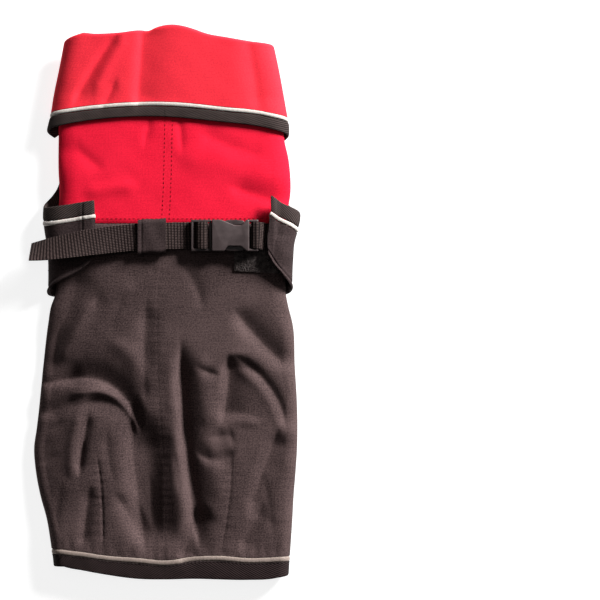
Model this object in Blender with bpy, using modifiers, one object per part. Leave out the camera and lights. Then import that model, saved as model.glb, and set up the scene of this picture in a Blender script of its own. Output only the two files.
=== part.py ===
"""Dog coat laid flat with its back up.

The coat lies with its head end at +Y and its hem at -Y. Its cloth is a flattened tube:
the back on top, a round fold down each side, and the belly pieces on the floor at z = 0.
X = 0 is the middle of the back and +X is the side with the buckle.
Sizes are in millimetres and are turned into metres when a mesh is made.
"""

from collections import namedtuple
import math

import bpy
import numpy as np

MM = 0.001

# Cloth, trim and the room between them
CLOTH = 1.8
GAP = 0.35
SEAM_GAP = 0.3
PIPE_RADIUS = 1.3
PIPE_SIDES = 1
PIPE_PROUD = 0.65
PIPE_DEPTH = PIPE_RADIUS + 0.2
BINDING = 1.9
EDGE_STEP = PIPE_RADIUS + GAP
POCKET_STEP = 3.5
CURL_STEP = 0.5
COLLAR_CLEAR = 0.15
EDGE_WIDTH = 9.6
CHEST_WIDTH = 11.0
CHEST_SIDE_WIDTH = 10.0
WING_LEAN = 6.0

# Heights of the flattened tube
BACK_HEIGHT = 13.5
CROWN = 1.5
HALF_WIDTH = 90.0
LAYER = 3.0
WAIST_SHARE = 0.45
COLLAR_RISE = 2.6
CHEST_RISE = CLOTH + GAP
RIGHT_LIFT = 4.6
RIGHT_SETTLED = 2.4
COLLAR_TURN = 2.2
COLLAR_INSIDE = 10.0
LINING = 1.0
LINING_DROP = 4.9
LINING_FOLD_SHARE = 0.75

# Places along the coat
SEAM_Y = 56.8
CHEST_BOTTOM = 3.0
COLLAR_FRONT = 26.0
NECK_FRONT = 27.0
HEM_FRONT = 71.0
LINING_TOP = -106.0
LINING_LEFT = -52.0
LINING_RIGHT = 44.0

# Webbing, keeper and buckle
WEB_WIDTH = 19.4
WEB = 1.1
BELT_Y = 48.0
KEEPER_WALL = 1.1
BUCKLE_WIDTH = 22.6
PLATE_LOW = 18.5
PLATE = 3.6
SHELL_LOW = 16.7
SHELL_HEIGHT = 7.6
PATCH = 1.0
PATCH_INNER = 22.6
PATCH_OUTER = -10.0
PATCH_LOW = 22.6
PATCH_HIGH = 53.0
PATCH_SLOPE = 0.06

# Keeper: a loop of cloth, in its places along and across the strap
KEEPER_X = (-19.5, -9.5, 0.6)
KEEPER_Y = 47.3
KEEPER_SLOPE = 0.07
KEEPER_HALF_WIDTH = 12.6
KEEPER_LOW = 15.4
KEEPER_HIGH = 21.7

# Buckle: ends of its two halves along the strap, and the slots and notches in them
MALE_START = 18.7
FRAME_END = 33.1
PRONG_END = 57.6
SHELL_START = 33.5
SHELL_LENGTH = 33.6
SHELL_WALL = 1.4
SOCKET_END = 58.6
SLOT_HALF = 10.1
PRONG_HALF = 9.2
PRONG_GROWTH = 1.6
NOTCH_LOW_START = 42.6
NOTCH_HIGH_START = 40.8
PLATE_PLAY = 0.4
OUTER_SLOT = (20.4, 25.0)
INNER_SLOT = (29.2, 31.7)
STRAP_SLOT = (61.0, 63.8)
BAR_START = 63.0
BAR_CUT_END = 70.0
BAR_LOWERED = 2.2
BAR_SUNK = 1.8
PRONG_TIP = 9.6
PRONG_INNER = 6.6
PRONG_ROOT = 37.4
TIP_CHAMFER = 1.1
GUIDE_HALF = 2.2
GUIDE_END = 52.0

# Label under the left belly flap
LABEL = 1.0
LABEL_X = -58.3
LABEL_Y = -98.8
LABEL_WIDTH = 21.6
LABEL_LENGTH = 22.3

SideRow = namedtuple("SideRow", "y left right")
Fold = namedtuple("Fold", "x0 y0 x1 y1 bow depth width")
RimRow = namedtuple("RimRow", "x y")
HemRow = namedtuple("HemRow", "x piping lower")
Rule = namedtuple("Rule", "face x_top y_top x_low y_low")
StrapRow = namedtuple("StrapRow", "x y z tilt")

# Outline of the body and the neck, to the outside of the cloth
COAT_SIDES = (
    SideRow(-202, 80.0, 88.6),
    SideRow(-190, 81.0, 89.2),
    SideRow(-175, 82.9, 90.3),
    SideRow(-157, 85.9, 91.5),
    SideRow(-139, 90.8, 92.5),
    SideRow(-122, 94.0, 93.9),
    SideRow(-104, 95.2, 95.0),
    SideRow(-92, 93.5, 95.2),
    SideRow(-74, 91.4, 94.9),
    SideRow(-46, 88.7, 93.3),
    SideRow(-15, 85.0, 91.6),
    SideRow(-3, 82.9, 88.6),
    SideRow(5, 80.0, 87.0),
    SideRow(20, 79.0, 86.5),
    SideRow(60, 77.6, 87.0),
    SideRow(80, 76.6, 90.2),
    SideRow(94, 77.2, 89.8),
    SideRow(106, 77.3, 88.2),
    SideRow(114, 77.2, 86.3),
    SideRow(126, 77.0, 84.6),
    SideRow(148, 76.6, 81.6),
    SideRow(169, 73.2, 77.8),
    SideRow(190, 69.2, 73.2),
)

# Outline of the turned-down collar
COLLAR_SIDES = (
    SideRow(100, 87.0, 88.6),
    SideRow(116, 86.6, 88.9),
    SideRow(126, 85.4, 89.4),
    SideRow(136, 82.9, 87.6),
    SideRow(148, 81.0, 85.5),
    SideRow(169, 76.7, 81.6),
    SideRow(190, 72.8, 77.0),
)

# Outline of the chest panel where it goes round the sides
CHEST_SIDES = (
    SideRow(-4, 83.4, 88.4),
    SideRow(4, 83.6, 89.0),
    SideRow(17, 84.6, 91.2),
    SideRow(31, 85.0, 92.2),
    SideRow(43, 86.2, 93.2),
    SideRow(52, 87.6, 95.6),
    SideRow(60, 88.6, 97.2),
    SideRow(72, 88.2, 97.0),
)

# Folds of the black back: troughs have a depth above zero, ridges one below it
FOLDS = (
    Fold(12.1, -29.0, 14.5, -95.0, -1.0, 4.6, 5.0),
    Fold(12.8, -74.0, 25.2, -154.0, -2.6, 4.6, 5.2),
    Fold(25.5, -150.0, 14.8, -178.0, 3.0, 4.0, 5.0),
    Fold(-83.8, -49.7, -48.0, -36.0, -4.0, 2.6, 5.0),
    Fold(-54.0, -35.5, -20.0, -80.0, 9.0, 3.6, 5.0),
    Fold(-19.5, -78.0, -13.0, -165.0, -5.0, 2.6, 6.0),
    Fold(-87.3, -84.0, -54.0, -64.0, 0.8, 3.0, 5.0),
    Fold(-58.0, -64.5, -25.0, -88.0, 5.0, 3.4, 4.6),
    Fold(-57.0, -58.5, -26.0, -78.0, 5.0, -1.4, 4.4),
    Fold(-52.7, -79.0, -62.4, -126.0, -1.5, 4.0, 4.4),
    Fold(-55.0, -75.0, -63.0, -97.0, -6.0, -1.8, 4.0),
    Fold(-52.7, 2.0, -83.7, -45.0, 0.0, 3.0, 5.0),
    Fold(-48.0, -8.0, -78.0, -44.0, 0.0, -1.4, 4.4),
    Fold(-12.0, -2.0, -12.0, -74.0, -3.0, 1.8, 6.0),
    Fold(19.0, -39.0, 40.0, -51.0, -3.0, 1.5, 4.5),
    Fold(50.0, -38.5, 85.0, -70.0, 3.5, 2.5, 4.4),
    Fold(77.0, -68.0, 88.0, -95.0, 2.0, 1.8, 4.4),
    Fold(54.8, -10.0, 88.0, -47.0, -4.0, 2.6, 4.8),
    Fold(49.0, -48.0, 40.0, -79.0, 5.0, 1.8, 5.0),
    Fold(32.0, -93.0, 46.0, -95.0, 0.0, 1.4, 4.4),
    Fold(83.7, -107.0, 60.3, -140.0, 0.0, 1.8, 5.5),
    Fold(70.6, -154.0, 54.8, -172.0, 0.0, 1.8, 4.6),
    Fold(25.0, -105.0, 37.5, -115.0, 0.0, 1.2, 4.4),
    Fold(-54.2, -144.0, -59.0, -175.0, -1.0, 2.4, 5.0),
    Fold(-33.4, -151.0, -19.6, -175.0, 0.0, 2.2, 5.0),
    Fold(-50.0, -109.0, -45.5, -178.0, 2.0, 1.0, 4.0),
    Fold(46.0, -103.0, 39.0, -178.0, 3.0, 1.0, 4.0),
)

# Collar: its piping line on the back and the belly, the binding's edge and the top fold
COLLAR_PIPING_BACK = (
    RimRow(-83, 136.0),
    RimRow(-50, 140.4),
    RimRow(-13, 142.8),
    RimRow(5, 142.5),
    RimRow(41, 139.1),
    RimRow(73, 135.0),
    RimRow(88, 130.0),
)
COLLAR_PIPING_BELLY = (RimRow(26, 162.0), RimRow(45, 155.0), RimRow(58, 146.0), RimRow(84, 124.0))
COLLAR_EDGE_BACK = (
    RimRow(-83, 125.5),
    RimRow(-58, 130.3),
    RimRow(-26, 133.4),
    RimRow(-4, 133.6),
    RimRow(35, 130.3),
    RimRow(73, 125.2),
    RimRow(88, 121.0),
)
COLLAR_EDGE_BELLY = (RimRow(26, 150.5), RimRow(45, 143.0), RimRow(58, 134.0), RimRow(84, 113.5))
COLLAR_TOP_BACK = (
    RimRow(-78, 189.0),
    RimRow(-60, 193.6),
    RimRow(-30, 194.6),
    RimRow(-12, 196.2),
    RimRow(5, 200.0),
    RimRow(22, 196.4),
    RimRow(45, 190.8),
    RimRow(78, 185.6),
)
COLLAR_TOP_BELLY = (RimRow(26, 176.0), RimRow(45, 180.0), RimRow(84, 185.6))

# Hem: the piping line and the binding's lower edge across the back
HEM = (
    HemRow(-83, -177.0, -186.0),
    HemRow(-73, -179.6, -190.6),
    HemRow(-60, -181.3, -193.2),
    HemRow(-42, -183.9, -196.4),
    HemRow(-20, -185.6, -199.2),
    HemRow(0, -187.3, -199.6),
    HemRow(22, -184.6, -199.2),
    HemRow(38, -184.0, -199.6),
    HemRow(60, -185.6, -200.0),
    HemRow(80, -185.0, -198.8),
    HemRow(91, -184.0, -195.6),
)

# Front edges of the body on the belly, along their piping, down and round to the hem
FRONT_RIGHT = (
    RimRow(17, 12), RimRow(15, -40), RimRow(13, -90), RimRow(12.6, -118), RimRow(14.6, -134),
    RimRow(21, -147), RimRow(34, -160), RimRow(52, -172), RimRow(70, -181), RimRow(83.6, -184.2),
)
FRONT_LEFT = (
    RimRow(15, 12), RimRow(13.6, -40), RimRow(12.6, -88), RimRow(13.6, -112), RimRow(18, -131),
    RimRow(28, -149), RimRow(42, -165), RimRow(56, -174), RimRow(68, -178), RimRow(75.9, -179.3),
)

# Ruling lines of the chest panel from its armhole edge down to its bottom edge
CHEST_RIGHT = (
    Rule("belly", 30.6, 191.0, 8, CHEST_BOTTOM),
    Rule("belly", 29.0, 172.0, 14, CHEST_BOTTOM),
    Rule("belly", 28.3, 155.0, 20, CHEST_BOTTOM),
    Rule("belly", 30.5, 138.0, 28, CHEST_BOTTOM),
    Rule("belly", 37.5, 124.0, 38, CHEST_BOTTOM),
    Rule("belly", 48.5, 106.1, 50, CHEST_BOTTOM),
    Rule("belly", 60.9, 85.4, 62, CHEST_BOTTOM),
    Rule("belly", 74.0, 67.5, 74, CHEST_BOTTOM),
    Rule("side", 95.0, 52.0, 89, 9.0),
    Rule("back", 88.5, 56.5, 86, 16.5),
    Rule("back", 81.0, 60.3, 80, 24.5),
    Rule("back", 75.5, 64.0, 74.5, 33.5),
)
CHEST_LEFT = (
    Rule("belly", 31.4, 191.0, 8, CHEST_BOTTOM),
    Rule("belly", 34.1, 176.0, 13, CHEST_BOTTOM),
    Rule("belly", 38.2, 161.0, 19, CHEST_BOTTOM),
    Rule("belly", 45.1, 143.0, 28, CHEST_BOTTOM),
    Rule("belly", 51.6, 123.5, 38, CHEST_BOTTOM),
    Rule("belly", 60.8, 97.8, 51, CHEST_BOTTOM),
    Rule("belly", 68.6, 74.6, 63, CHEST_BOTTOM),
    Rule("side", 88.0, 57.0, 84, 6.0),
    Rule("back", 71.0, 58.6, 71, 18.0),
    Rule("back", 60.4, 60.4, 60, 24.0),
    Rule("back", 50.4, 62.0, 50, 33.0),
)

# Left strap: lower run, turn round the buckle's bar, and the free tail back to the left
BELT_LEFT = (
    StrapRow(-60.0, 42.2, 16.7, 0),
    StrapRow(-52.0, 43.0, 16.9, 0),
    StrapRow(-36.0, 44.4, 17.1, 0),
    StrapRow(-18.0, 46.2, 17.1, 0),
    StrapRow(2.0, 47.4, 17.0, 0),
    StrapRow(15.0, 47.9, 15.9, 0),
    StrapRow(27.6, 48.0, 15.9, 0),
    StrapRow(30.2, 48.0, 16.8, 0),
    StrapRow(31.0, 48.0, 18.8, 0),
    StrapRow(31.0, 48.0, 21.6, 0),
    StrapRow(30.1, 48.0, 23.4, 0),
    StrapRow(28.0, 48.0, 24.0, 0),
    StrapRow(25.6, 48.0, 24.0, 0),
    StrapRow(23.8, 48.0, 23.4, 0),
    StrapRow(23.0, 48.0, 21.6, 0),
    StrapRow(22.3, 48.0, 19.3, 0),
    StrapRow(20.6, 48.0, 18.1, 0),
    StrapRow(15.0, 47.9, 18.3, 0),
    StrapRow(2.0, 47.6, 19.5, 0),
    StrapRow(-18.0, 46.9, 19.6, 0),
    StrapRow(-36.0, 45.3, 20.7, 5),
    StrapRow(-52.0, 43.3, 22.3, 14),
    StrapRow(-66.0, 41.2, 23.0, 23),
    StrapRow(-82.0, 38.7, 22.2, 34),
    StrapRow(-97.0, 36.6, 19.4, 50),
)

# Right strap: from under the wing to the shell's bar, round it and back on to the wing's end
BELT_RIGHT = (
    StrapRow(77.0, 46.4, 15.7, 0),
    StrapRow(73.0, 47.0, 15.9, 0),
    StrapRow(69.0, 47.9, 16.3, 0),
    StrapRow(64.8, 48.0, 16.7, 0),
    StrapRow(62.6, 48.0, 17.9, 0),
    StrapRow(62.0, 48.0, 20.5, 0),
    StrapRow(62.8, 48.0, 23.6, 0),
    StrapRow(65.0, 48.0, 24.4, 0),
    StrapRow(67.6, 48.0, 23.9, 0),
    StrapRow(69.9, 47.6, 21.0, 0),
    StrapRow(72.0, 47.1, 18.5, 0),
    StrapRow(77.0, 46.4, 18.1, 0),
)


def smooth(knots, values):
    """Return a soft curve through the rows of a table, as a function of its first column."""
    order = np.argsort(knots)
    k = np.asarray(knots, float)[order]
    v = np.asarray(values, float)[order]
    slope = np.gradient(v, k)

    def at(t):
        t = np.clip(t, k[0], k[-1])
        i = np.clip(np.searchsorted(k, t, side="right") - 1, 0, len(k) - 2)
        h = k[i + 1] - k[i]
        s = (t - k[i]) / h
        start = v[i] * (1 + 2 * s) * (1 - s) ** 2 + slope[i] * h * s * (1 - s) ** 2
        end = v[i + 1] * s * s * (3 - 2 * s) + slope[i + 1] * h * s * s * (s - 1)
        return start + end

    return at


def ramp(value, start, end):
    """Return 0 before start and 1 after end, with a soft step between."""
    t = np.clip((value - start) / (end - start), 0.0, 1.0)
    return t * t * (3 - 2 * t)


def table_curve(rows):
    """Return y as a soft function of x for a table of RimRow."""
    return smooth([row.x for row in rows], [row.y for row in rows])


def fold_height(x, y):
    """Return the height that the folds add: each is a soft trough along a bowed line."""
    total = np.zeros(np.broadcast(x, y).shape)
    for fold in FOLDS:
        dx = fold.x1 - fold.x0
        dy = fold.y1 - fold.y0
        length = math.hypot(dx, dy)
        along = ((x - fold.x0) * dx + (y - fold.y0) * dy) / length ** 2
        across = ((y - fold.y0) * dx - (x - fold.x0) * dy) / length
        off = across - fold.bow * 4 * along * (1 - along)
        ends = ramp(along, -0.05, 0.22) * (1 - ramp(along, 0.78, 1.05))
        total = total - fold.depth * np.exp(-(off / fold.width) ** 2) * ends
    return total


def back_face(x, y):
    """Return the height of the outer face of the body and the neck on the back."""
    return BACK_HEIGHT + CROWN * (1 - (x / HALF_WIDTH) ** 2) + fold_height(x, y)


def coat_floor(x, y):
    """Return the height of the body's and neck's belly face over the pieces beneath them."""
    over_chest = LAYER * ramp(y, -13.0, 1.0)
    over_collar = LAYER * ramp(y, 80.0, 101.0)
    over_label = (LABEL + SEAM_GAP) * label_bump(x, y)
    return over_chest + over_collar + over_label


def label_bump(x, y):
    """Return 1 over the label on the left belly flap and 0 away from it."""
    across = np.abs(x - LABEL_X) - LABEL_WIDTH / 2
    along = np.abs(y - LABEL_Y) - LABEL_LENGTH / 2
    return (1 - ramp(across, 5.0, 18.0)) * (1 - ramp(along, 9.4, 19.0))


def chest_roof(x, y):
    """Return the height of the wings' outer face on the back, raised over the right strap."""
    lift = RIGHT_LIFT * ramp(x, 0.0, 40.0) - (RIGHT_LIFT - RIGHT_SETTLED) * ramp(x, 77.0, 84.0)
    return back_face(x, y) + CHEST_RISE + lift


class Form:
    """A flattened tube of cloth: flat belly, round side folds, and the back on top.

    A place on it is a distance u round the section from the middle of the belly, and a y.
    """

    def __init__(self, sides, floor, roof, low_radius, top_radius):
        rows = [row.y for row in sides]
        self.left = smooth(rows, [row.left for row in sides])
        self.right = smooth(rows, [row.right for row in sides])
        self.floor = floor
        self.roof = roof
        self.low_radius = low_radius
        self.top_radius = top_radius

    def reach(self, side, y):
        """Return how far the outline reaches from the middle on one side."""
        return np.where(np.asarray(side) > 0, self.right(y), self.left(y))

    def section(self, side, y):
        """Return the lengths and heights of the section on one side at y."""
        reach = self.reach(side, y)
        flat = reach - self.low_radius
        shoulder = reach - self.top_radius
        low = self.floor(side * flat, y)
        high = self.roof(side * shoulder, y)
        waist = low + WAIST_SHARE * (high - low)
        lower = math.pi / 2 * np.sqrt((self.low_radius ** 2 + (waist - low) ** 2) / 2)
        upper = math.pi / 2 * np.sqrt((self.top_radius ** 2 + (high - waist) ** 2) / 2)
        return reach, flat, shoulder, low, high, waist, lower, upper

    def point(self, side, u, y, inset=0.0):
        """Return x, y, z at a distance u round the section, moved in by inset."""
        side = np.asarray(side, float)
        y = np.asarray(y, float)
        reach, flat, shoulder, low, high, waist, lower, upper = self.section(side, y)
        bend = np.clip((u - flat) / lower, 0, 1) * math.pi / 2
        rise = np.clip((u - flat - lower) / upper, 0, 1) * math.pi / 2
        over = np.maximum(u - flat - lower - upper, 0)
        x = np.minimum(u, flat) + (self.low_radius - inset) * np.sin(bend)
        x = x - (self.top_radius - inset) * (1 - np.cos(rise)) - over
        z = self.floor(side * np.minimum(u, flat), y) + inset
        z = z + (waist - low - inset) * (1 - np.cos(bend))
        z = z + (high - inset - waist) * np.sin(rise)
        z = np.where(over > 0, self.roof(side * x, y) - inset, z)
        return np.stack(np.broadcast_arrays(side * x, y, z), axis=-1)

    def station(self, side, place, y, front, seam):
        """Return u at a station: 0 front edge, 1 belly's end, 3 shoulder, 4 seam on the back."""
        _, flat, shoulder, _, _, _, lower, upper = self.section(side, y)
        u = front + (flat - front) * np.clip(place, 0, 1)
        u = u + lower * np.clip(place - 1, 0, 1) + upper * np.clip(place - 2, 0, 1)
        return u + (shoulder - side * seam) * np.clip(place - 3, 0, 1)

    def around(self, face, x, y, side):
        """Return u of a place named by its face and its x."""
        _, flat, shoulder, _, _, _, lower, upper = self.section(side, y)
        if face == "belly":
            return np.minimum(x, flat)
        if face == "side":
            return flat + lower
        return flat + lower + upper + shoulder - x

    def rim(self, side, place, back, belly, front, seam, guess):
        """Return y of an edge that has one curve on the back and another on the belly."""
        _, flat, shoulder, _, _, _, _, _ = self.section(side, guess)
        x_back = side * shoulder - (side * shoulder - seam) * np.clip(place - 3, 0, 1)
        x_belly = front + (flat - front) * np.clip(place, 0, 1)
        share = np.clip((place - 1) / 2, 0, 1)
        return (1 - share) * belly(x_belly) + share * back(x_back)


COAT = Form(COAT_SIDES, coat_floor, back_face, 5.5, 14.0)
COLLAR = Form(COLLAR_SIDES, lambda x, y: LAYER + 0 * y, lambda x, y: back_face(x, y) + COLLAR_RISE,
              6.0, 14.0)
CHEST = Form(CHEST_SIDES, lambda x, y: 0 * y, chest_roof, 7.0, 14.0)

# Columns of each wall on the belly, on the lower and the upper half of the side fold
RIGHT_COLUMNS = (3, 3, 3)
LEFT_COLUMNS = (5, 3, 3)
COLLAR_COLUMNS = (2, 3, 3)
BODY_BACK_COLUMNS = 16
NECK_BACK_COLUMNS = 10
BODY_ROWS = 26
NECK_ROWS = 6
COLLAR_ROWS = 4
TURN_ROWS = 4
CHEST_ROWS = 5
LINING_ROWS = 9
LINING_COLUMNS = 16
HEM_START = 1.1
FRONT_POINTS = 22
STRIP_POINTS = 13
WING_POINTS = 17


def stations(counts, back_count):
    """Return the stations of a wall's columns, from its front edge to its seam."""
    pieces = [np.linspace(i, i + 1, n + 1)[:-1] for i, n in enumerate(counts)]
    return np.concatenate(pieces + [np.linspace(3, 4, back_count + 1)])


def material(name, color, roughness, metallic=0.0):
    """Return a new Principled material."""
    made = bpy.data.materials.new(name)
    made.use_nodes = True
    shader = made.node_tree.nodes["Principled BSDF"]
    shader.inputs["Base Color"].default_value = (*color, 1.0)
    shader.inputs["Roughness"].default_value = roughness
    shader.inputs["Metallic"].default_value = metallic
    return made


def add_object(name, mesh, finish, collection):
    """Add an object with its finish to the coat's collection."""
    mesh.materials.append(finish)
    made = bpy.data.objects.new(name, mesh)
    collection.objects.link(made)
    return made


def grid_faces(rows, columns, closed=False):
    """Return the four-sided faces between the points of a grid, round to its start if closed."""
    index = np.arange(rows * columns).reshape(rows, columns)
    if closed:
        index = np.concatenate([index, index[:, :1]], axis=1)
    corners = (index[:-1, :-1], index[:-1, 1:], index[1:, 1:], index[1:, :-1])
    return np.stack([corner.ravel() for corner in corners], axis=1)


def add_sheet(name, points, faces, thickness, finish, collection):
    """Add a sheet over a grid of points on its outer face, thickened behind that face."""
    mesh = bpy.data.meshes.new(name)
    mesh.from_pydata((points.reshape(-1, 3) * MM).tolist(), [], faces.tolist())
    mesh.shade_smooth()
    made = add_object(name, mesh, finish, collection)
    solid = made.modifiers.new("Wall", "SOLIDIFY")
    solid.thickness = thickness * MM
    solid.offset = -1.0
    solid.use_even_offset = True
    return made


def add_wall(name, points, thickness, finish, collection):
    """Add a sheet whose outer face looks away from the inside of the flattened tube."""
    faces = grid_faces(*points.shape[:2])
    flat = points.reshape(-1, 3)
    a, b, c, d = faces.T
    normal = np.cross(flat[c] - flat[a], flat[d] - flat[b])
    middle = (flat[a] + flat[c]) / 2
    inside = middle * (0.9, 1.0, 0.0) + (0.0, 0.0, BACK_HEIGHT / 2)
    if (normal * (middle - inside)).sum() < 0:
        faces = faces[:, ::-1]
    return add_sheet(name, points, faces, thickness, finish, collection)


def add_tube(name, points, radius, finish, collection):
    """Add a bead along a line of points."""
    curve = bpy.data.curves.new(name, "CURVE")
    curve.dimensions = "3D"
    curve.bevel_depth = radius * MM
    curve.bevel_resolution = PIPE_SIDES
    curve.use_fill_caps = True
    line = curve.splines.new("POLY")
    line.points.add(len(points) - 1)
    for point, place in zip(line.points, points):
        point.co = (*(place * MM), 1.0)
    return add_object(name, curve, finish, collection)


def offset_line(u, y, distance):
    """Return a line in the plane of u and y moved sideways, to the left of its direction."""
    du = np.gradient(u)
    dy = np.gradient(y)
    length = np.hypot(du, dy)
    return u - distance * dy / length, y + distance * du / length


def slant_step(u, y):
    """Return how far along y to move an edge so that it clears a slanting piping."""
    return EDGE_STEP * np.hypot(1.0, np.gradient(y) / np.gradient(u))


def chord_lengths(rows_u, rows_y):
    """Return each row's distance along the line through the rows."""
    steps = np.hypot(np.diff(rows_u), np.diff(rows_y))
    return np.concatenate([[0.0], np.cumsum(steps)])


SEAM = smooth([-190, -110, -95, 8, 56, 120], [-0.4, -0.8, -5.0, -5.2, 0.0, 2.4])
HEM_PIPING = smooth([row.x for row in HEM], [row.piping for row in HEM])
HEM_LOWER = smooth([row.x for row in HEM], [row.lower for row in HEM])


def front_line(side):
    """Return the piping line of a front edge as u and y, from the belly down to the side."""
    rows = FRONT_RIGHT if side > 0 else FRONT_LEFT
    u = [row.x for row in rows]
    y = [row.y for row in rows]
    chord = chord_lengths(u, y)
    t = np.linspace(0.0, chord[-1], FRONT_POINTS)
    return smooth(chord, u)(t), smooth(chord, y)(t)


def front_edge(side):
    """Return the body's front edge as a function of y, clear of its piping."""
    u, y = offset_line(*front_line(side), EDGE_STEP)
    order = np.argsort(y)
    return lambda at: np.interp(at, y[order], u[order])


def belly_hem(side, shift):
    """Return the hem on the belly as a function of x, moved by shift along the coat."""
    rows = (FRONT_RIGHT if side > 0 else FRONT_LEFT)[-3:]
    return lambda x: np.interp(x, [row.x for row in rows], [row.y + shift for row in rows])


def hem_rim(side, place, curve, belly_shift):
    """Return y of a line along the hem, across the back and round to the belly."""
    return COAT.rim(side, place, curve, belly_hem(side, belly_shift), HEM_FRONT, 0.0, HEM_PIPING(0.0))


def add_body(side, finish, collection):
    """Add one half of the black body, from the back seam round the side to its front edge."""
    place = stations(RIGHT_COLUMNS if side > 0 else LEFT_COLUMNS, BODY_BACK_COLUMNS)
    front = front_edge(side)
    piping = hem_rim(side, place, HEM_PIPING, 0.0)
    bottom = piping + slant_step(COAT.station(side, place, piping, HEM_FRONT, 0.0), piping)
    share = np.linspace(0, 1, BODY_ROWS + 1)[:, None]
    y = SEAM_Y - SEAM_GAP / 2 + share * (bottom - SEAM_Y + SEAM_GAP / 2)
    seam = SEAM(y) + side * SEAM_GAP / 2
    u = COAT.station(side, place, y, front(y[:, :1]), seam)
    name = "body_right" if side > 0 else "body_left"
    return add_wall(name, COAT.point(side, u, y), CLOTH, finish, collection)


def add_neck(side, finish, collection):
    """Add one half of the red neck section, up inside the turned-down collar."""
    place = stations(COLLAR_COLUMNS, NECK_BACK_COLUMNS)
    tuck = COLLAR_TURN + COLLAR_INSIDE + POCKET_STEP
    top = collar_rim(side, place, COLLAR_TOP_BACK, COLLAR_TOP_BELLY) - tuck
    low = SEAM_Y + SEAM_GAP / 2
    share = np.linspace(0, 1, NECK_ROWS + 1)[:, None]
    y = low + share * (top - low)
    u = COAT.station(side, place, y, NECK_FRONT, SEAM(y) + side * SEAM_GAP / 2)
    name = "neck_right" if side > 0 else "neck_left"
    return add_wall(name, COAT.point(side, u, y), CLOTH, finish, collection)


def both_sides(build):
    """Join the right side's columns to the left side's across the middle of the back."""
    right = build(1.0)
    left = build(-1.0)
    return np.concatenate([right, left[:, -2::-1]], axis=1)


def collar_rim(side, place, back_rows, belly_rows):
    """Return y of a line along the collar, across the back and round to the belly."""
    back = table_curve(back_rows)
    return COLLAR.rim(side, place, back, table_curve(belly_rows), COLLAR_FRONT, 0.0, back(0.0))


def collar_step(side, place, y):
    """Return the clearance along y of the collar's cloth and binding to its piping."""
    return slant_step(COLLAR.station(side, place, y, COLLAR_FRONT, 0.0), y) + COLLAR_CLEAR


def add_collar(finish, collection):
    """Add the collar: its outer leg, the round fold at the neck mouth, and its inner leg."""
    place = stations(COLLAR_COLUMNS, NECK_BACK_COLUMNS)

    def build(side):
        piping = collar_rim(side, place, COLLAR_PIPING_BACK, COLLAR_PIPING_BELLY)
        low = piping + collar_step(side, place, piping)
        top = collar_rim(side, place, COLLAR_TOP_BACK, COLLAR_TOP_BELLY) - COLLAR_TURN
        leg = np.linspace(0, 1, COLLAR_ROWS + 1)[:, None]
        turn = np.linspace(0, math.pi, TURN_ROWS + 1)[1:, None]
        y = np.concatenate([low + leg * (top - low), top + COLLAR_TURN * np.sin(turn),
                            top - COLLAR_INSIDE * np.ones((1, 1))])
        depth = np.concatenate([0 * leg, COLLAR_TURN * (1 - np.cos(turn)),
                                [[2 * COLLAR_TURN]]])
        u = COLLAR.station(side, place, np.minimum(y, top), COLLAR_FRONT, 0.0)
        return COLLAR.point(side, u, y, depth + 0 * y)

    return add_wall("collar", both_sides(build), CLOTH, finish, collection)


def add_collar_trim(pipe_finish, binding_finish, collection):
    """Add the piping and the binding along the collar's lower edge."""
    place = stations(COLLAR_COLUMNS, NECK_BACK_COLUMNS)

    def pipe(side):
        y = collar_rim(side, place, COLLAR_PIPING_BACK, COLLAR_PIPING_BELLY)[None, :]
        u = COLLAR.station(side, place, y, COLLAR_FRONT, 0.0)
        depth = PIPE_DEPTH - PIPE_PROUD * ramp(place, 1.0, 3.0)
        return COLLAR.point(side, u, y, depth)

    def strip(side):
        piping = collar_rim(side, place, COLLAR_PIPING_BACK, COLLAR_PIPING_BELLY)
        high = piping - collar_step(side, place, piping)
        low = collar_rim(side, place, COLLAR_EDGE_BACK, COLLAR_EDGE_BELLY)
        y = low + np.linspace(0, 1, 3)[:, None] * (high - low)
        u = COLLAR.station(side, place, y, COLLAR_FRONT, 0.0)
        return COLLAR.point(side, u, y)

    add_tube("collar_piping", both_sides(pipe)[0], PIPE_RADIUS, pipe_finish, collection)
    add_wall("collar_binding", both_sides(strip), BINDING, binding_finish, collection)


def add_hem_trim(pipe_finish, binding_finish, collection):
    """Add the piping and the binding along the back hem and round both sides."""
    place = stations(RIGHT_COLUMNS, BODY_BACK_COLUMNS)
    place = np.concatenate([[HEM_START], place[place > HEM_START]])

    def pipe(side):
        y = hem_rim(side, place, HEM_PIPING, 0.0)[None, :]
        u = COAT.station(side, place, y, HEM_FRONT, 0.0)
        depth = PIPE_DEPTH - PIPE_PROUD * ramp(place, 1.0, 3.0)
        return COAT.point(side, u, y, depth)

    def strip(side):
        piping = hem_rim(side, place, HEM_PIPING, 0.0)
        high = piping - slant_step(COAT.station(side, place, piping, HEM_FRONT, 0.0), piping)
        low = hem_rim(side, place, HEM_LOWER, -EDGE_STEP - EDGE_WIDTH)
        y = high + np.linspace(0, 1, 3)[:, None] * (low - high)
        u = COAT.station(side, place, y, HEM_FRONT, 0.0)
        return COAT.point(side, u, y)

    add_tube("hem_piping", both_sides(pipe)[0], PIPE_RADIUS, pipe_finish, collection)
    add_wall("hem_binding", both_sides(strip), BINDING, binding_finish, collection)


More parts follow.
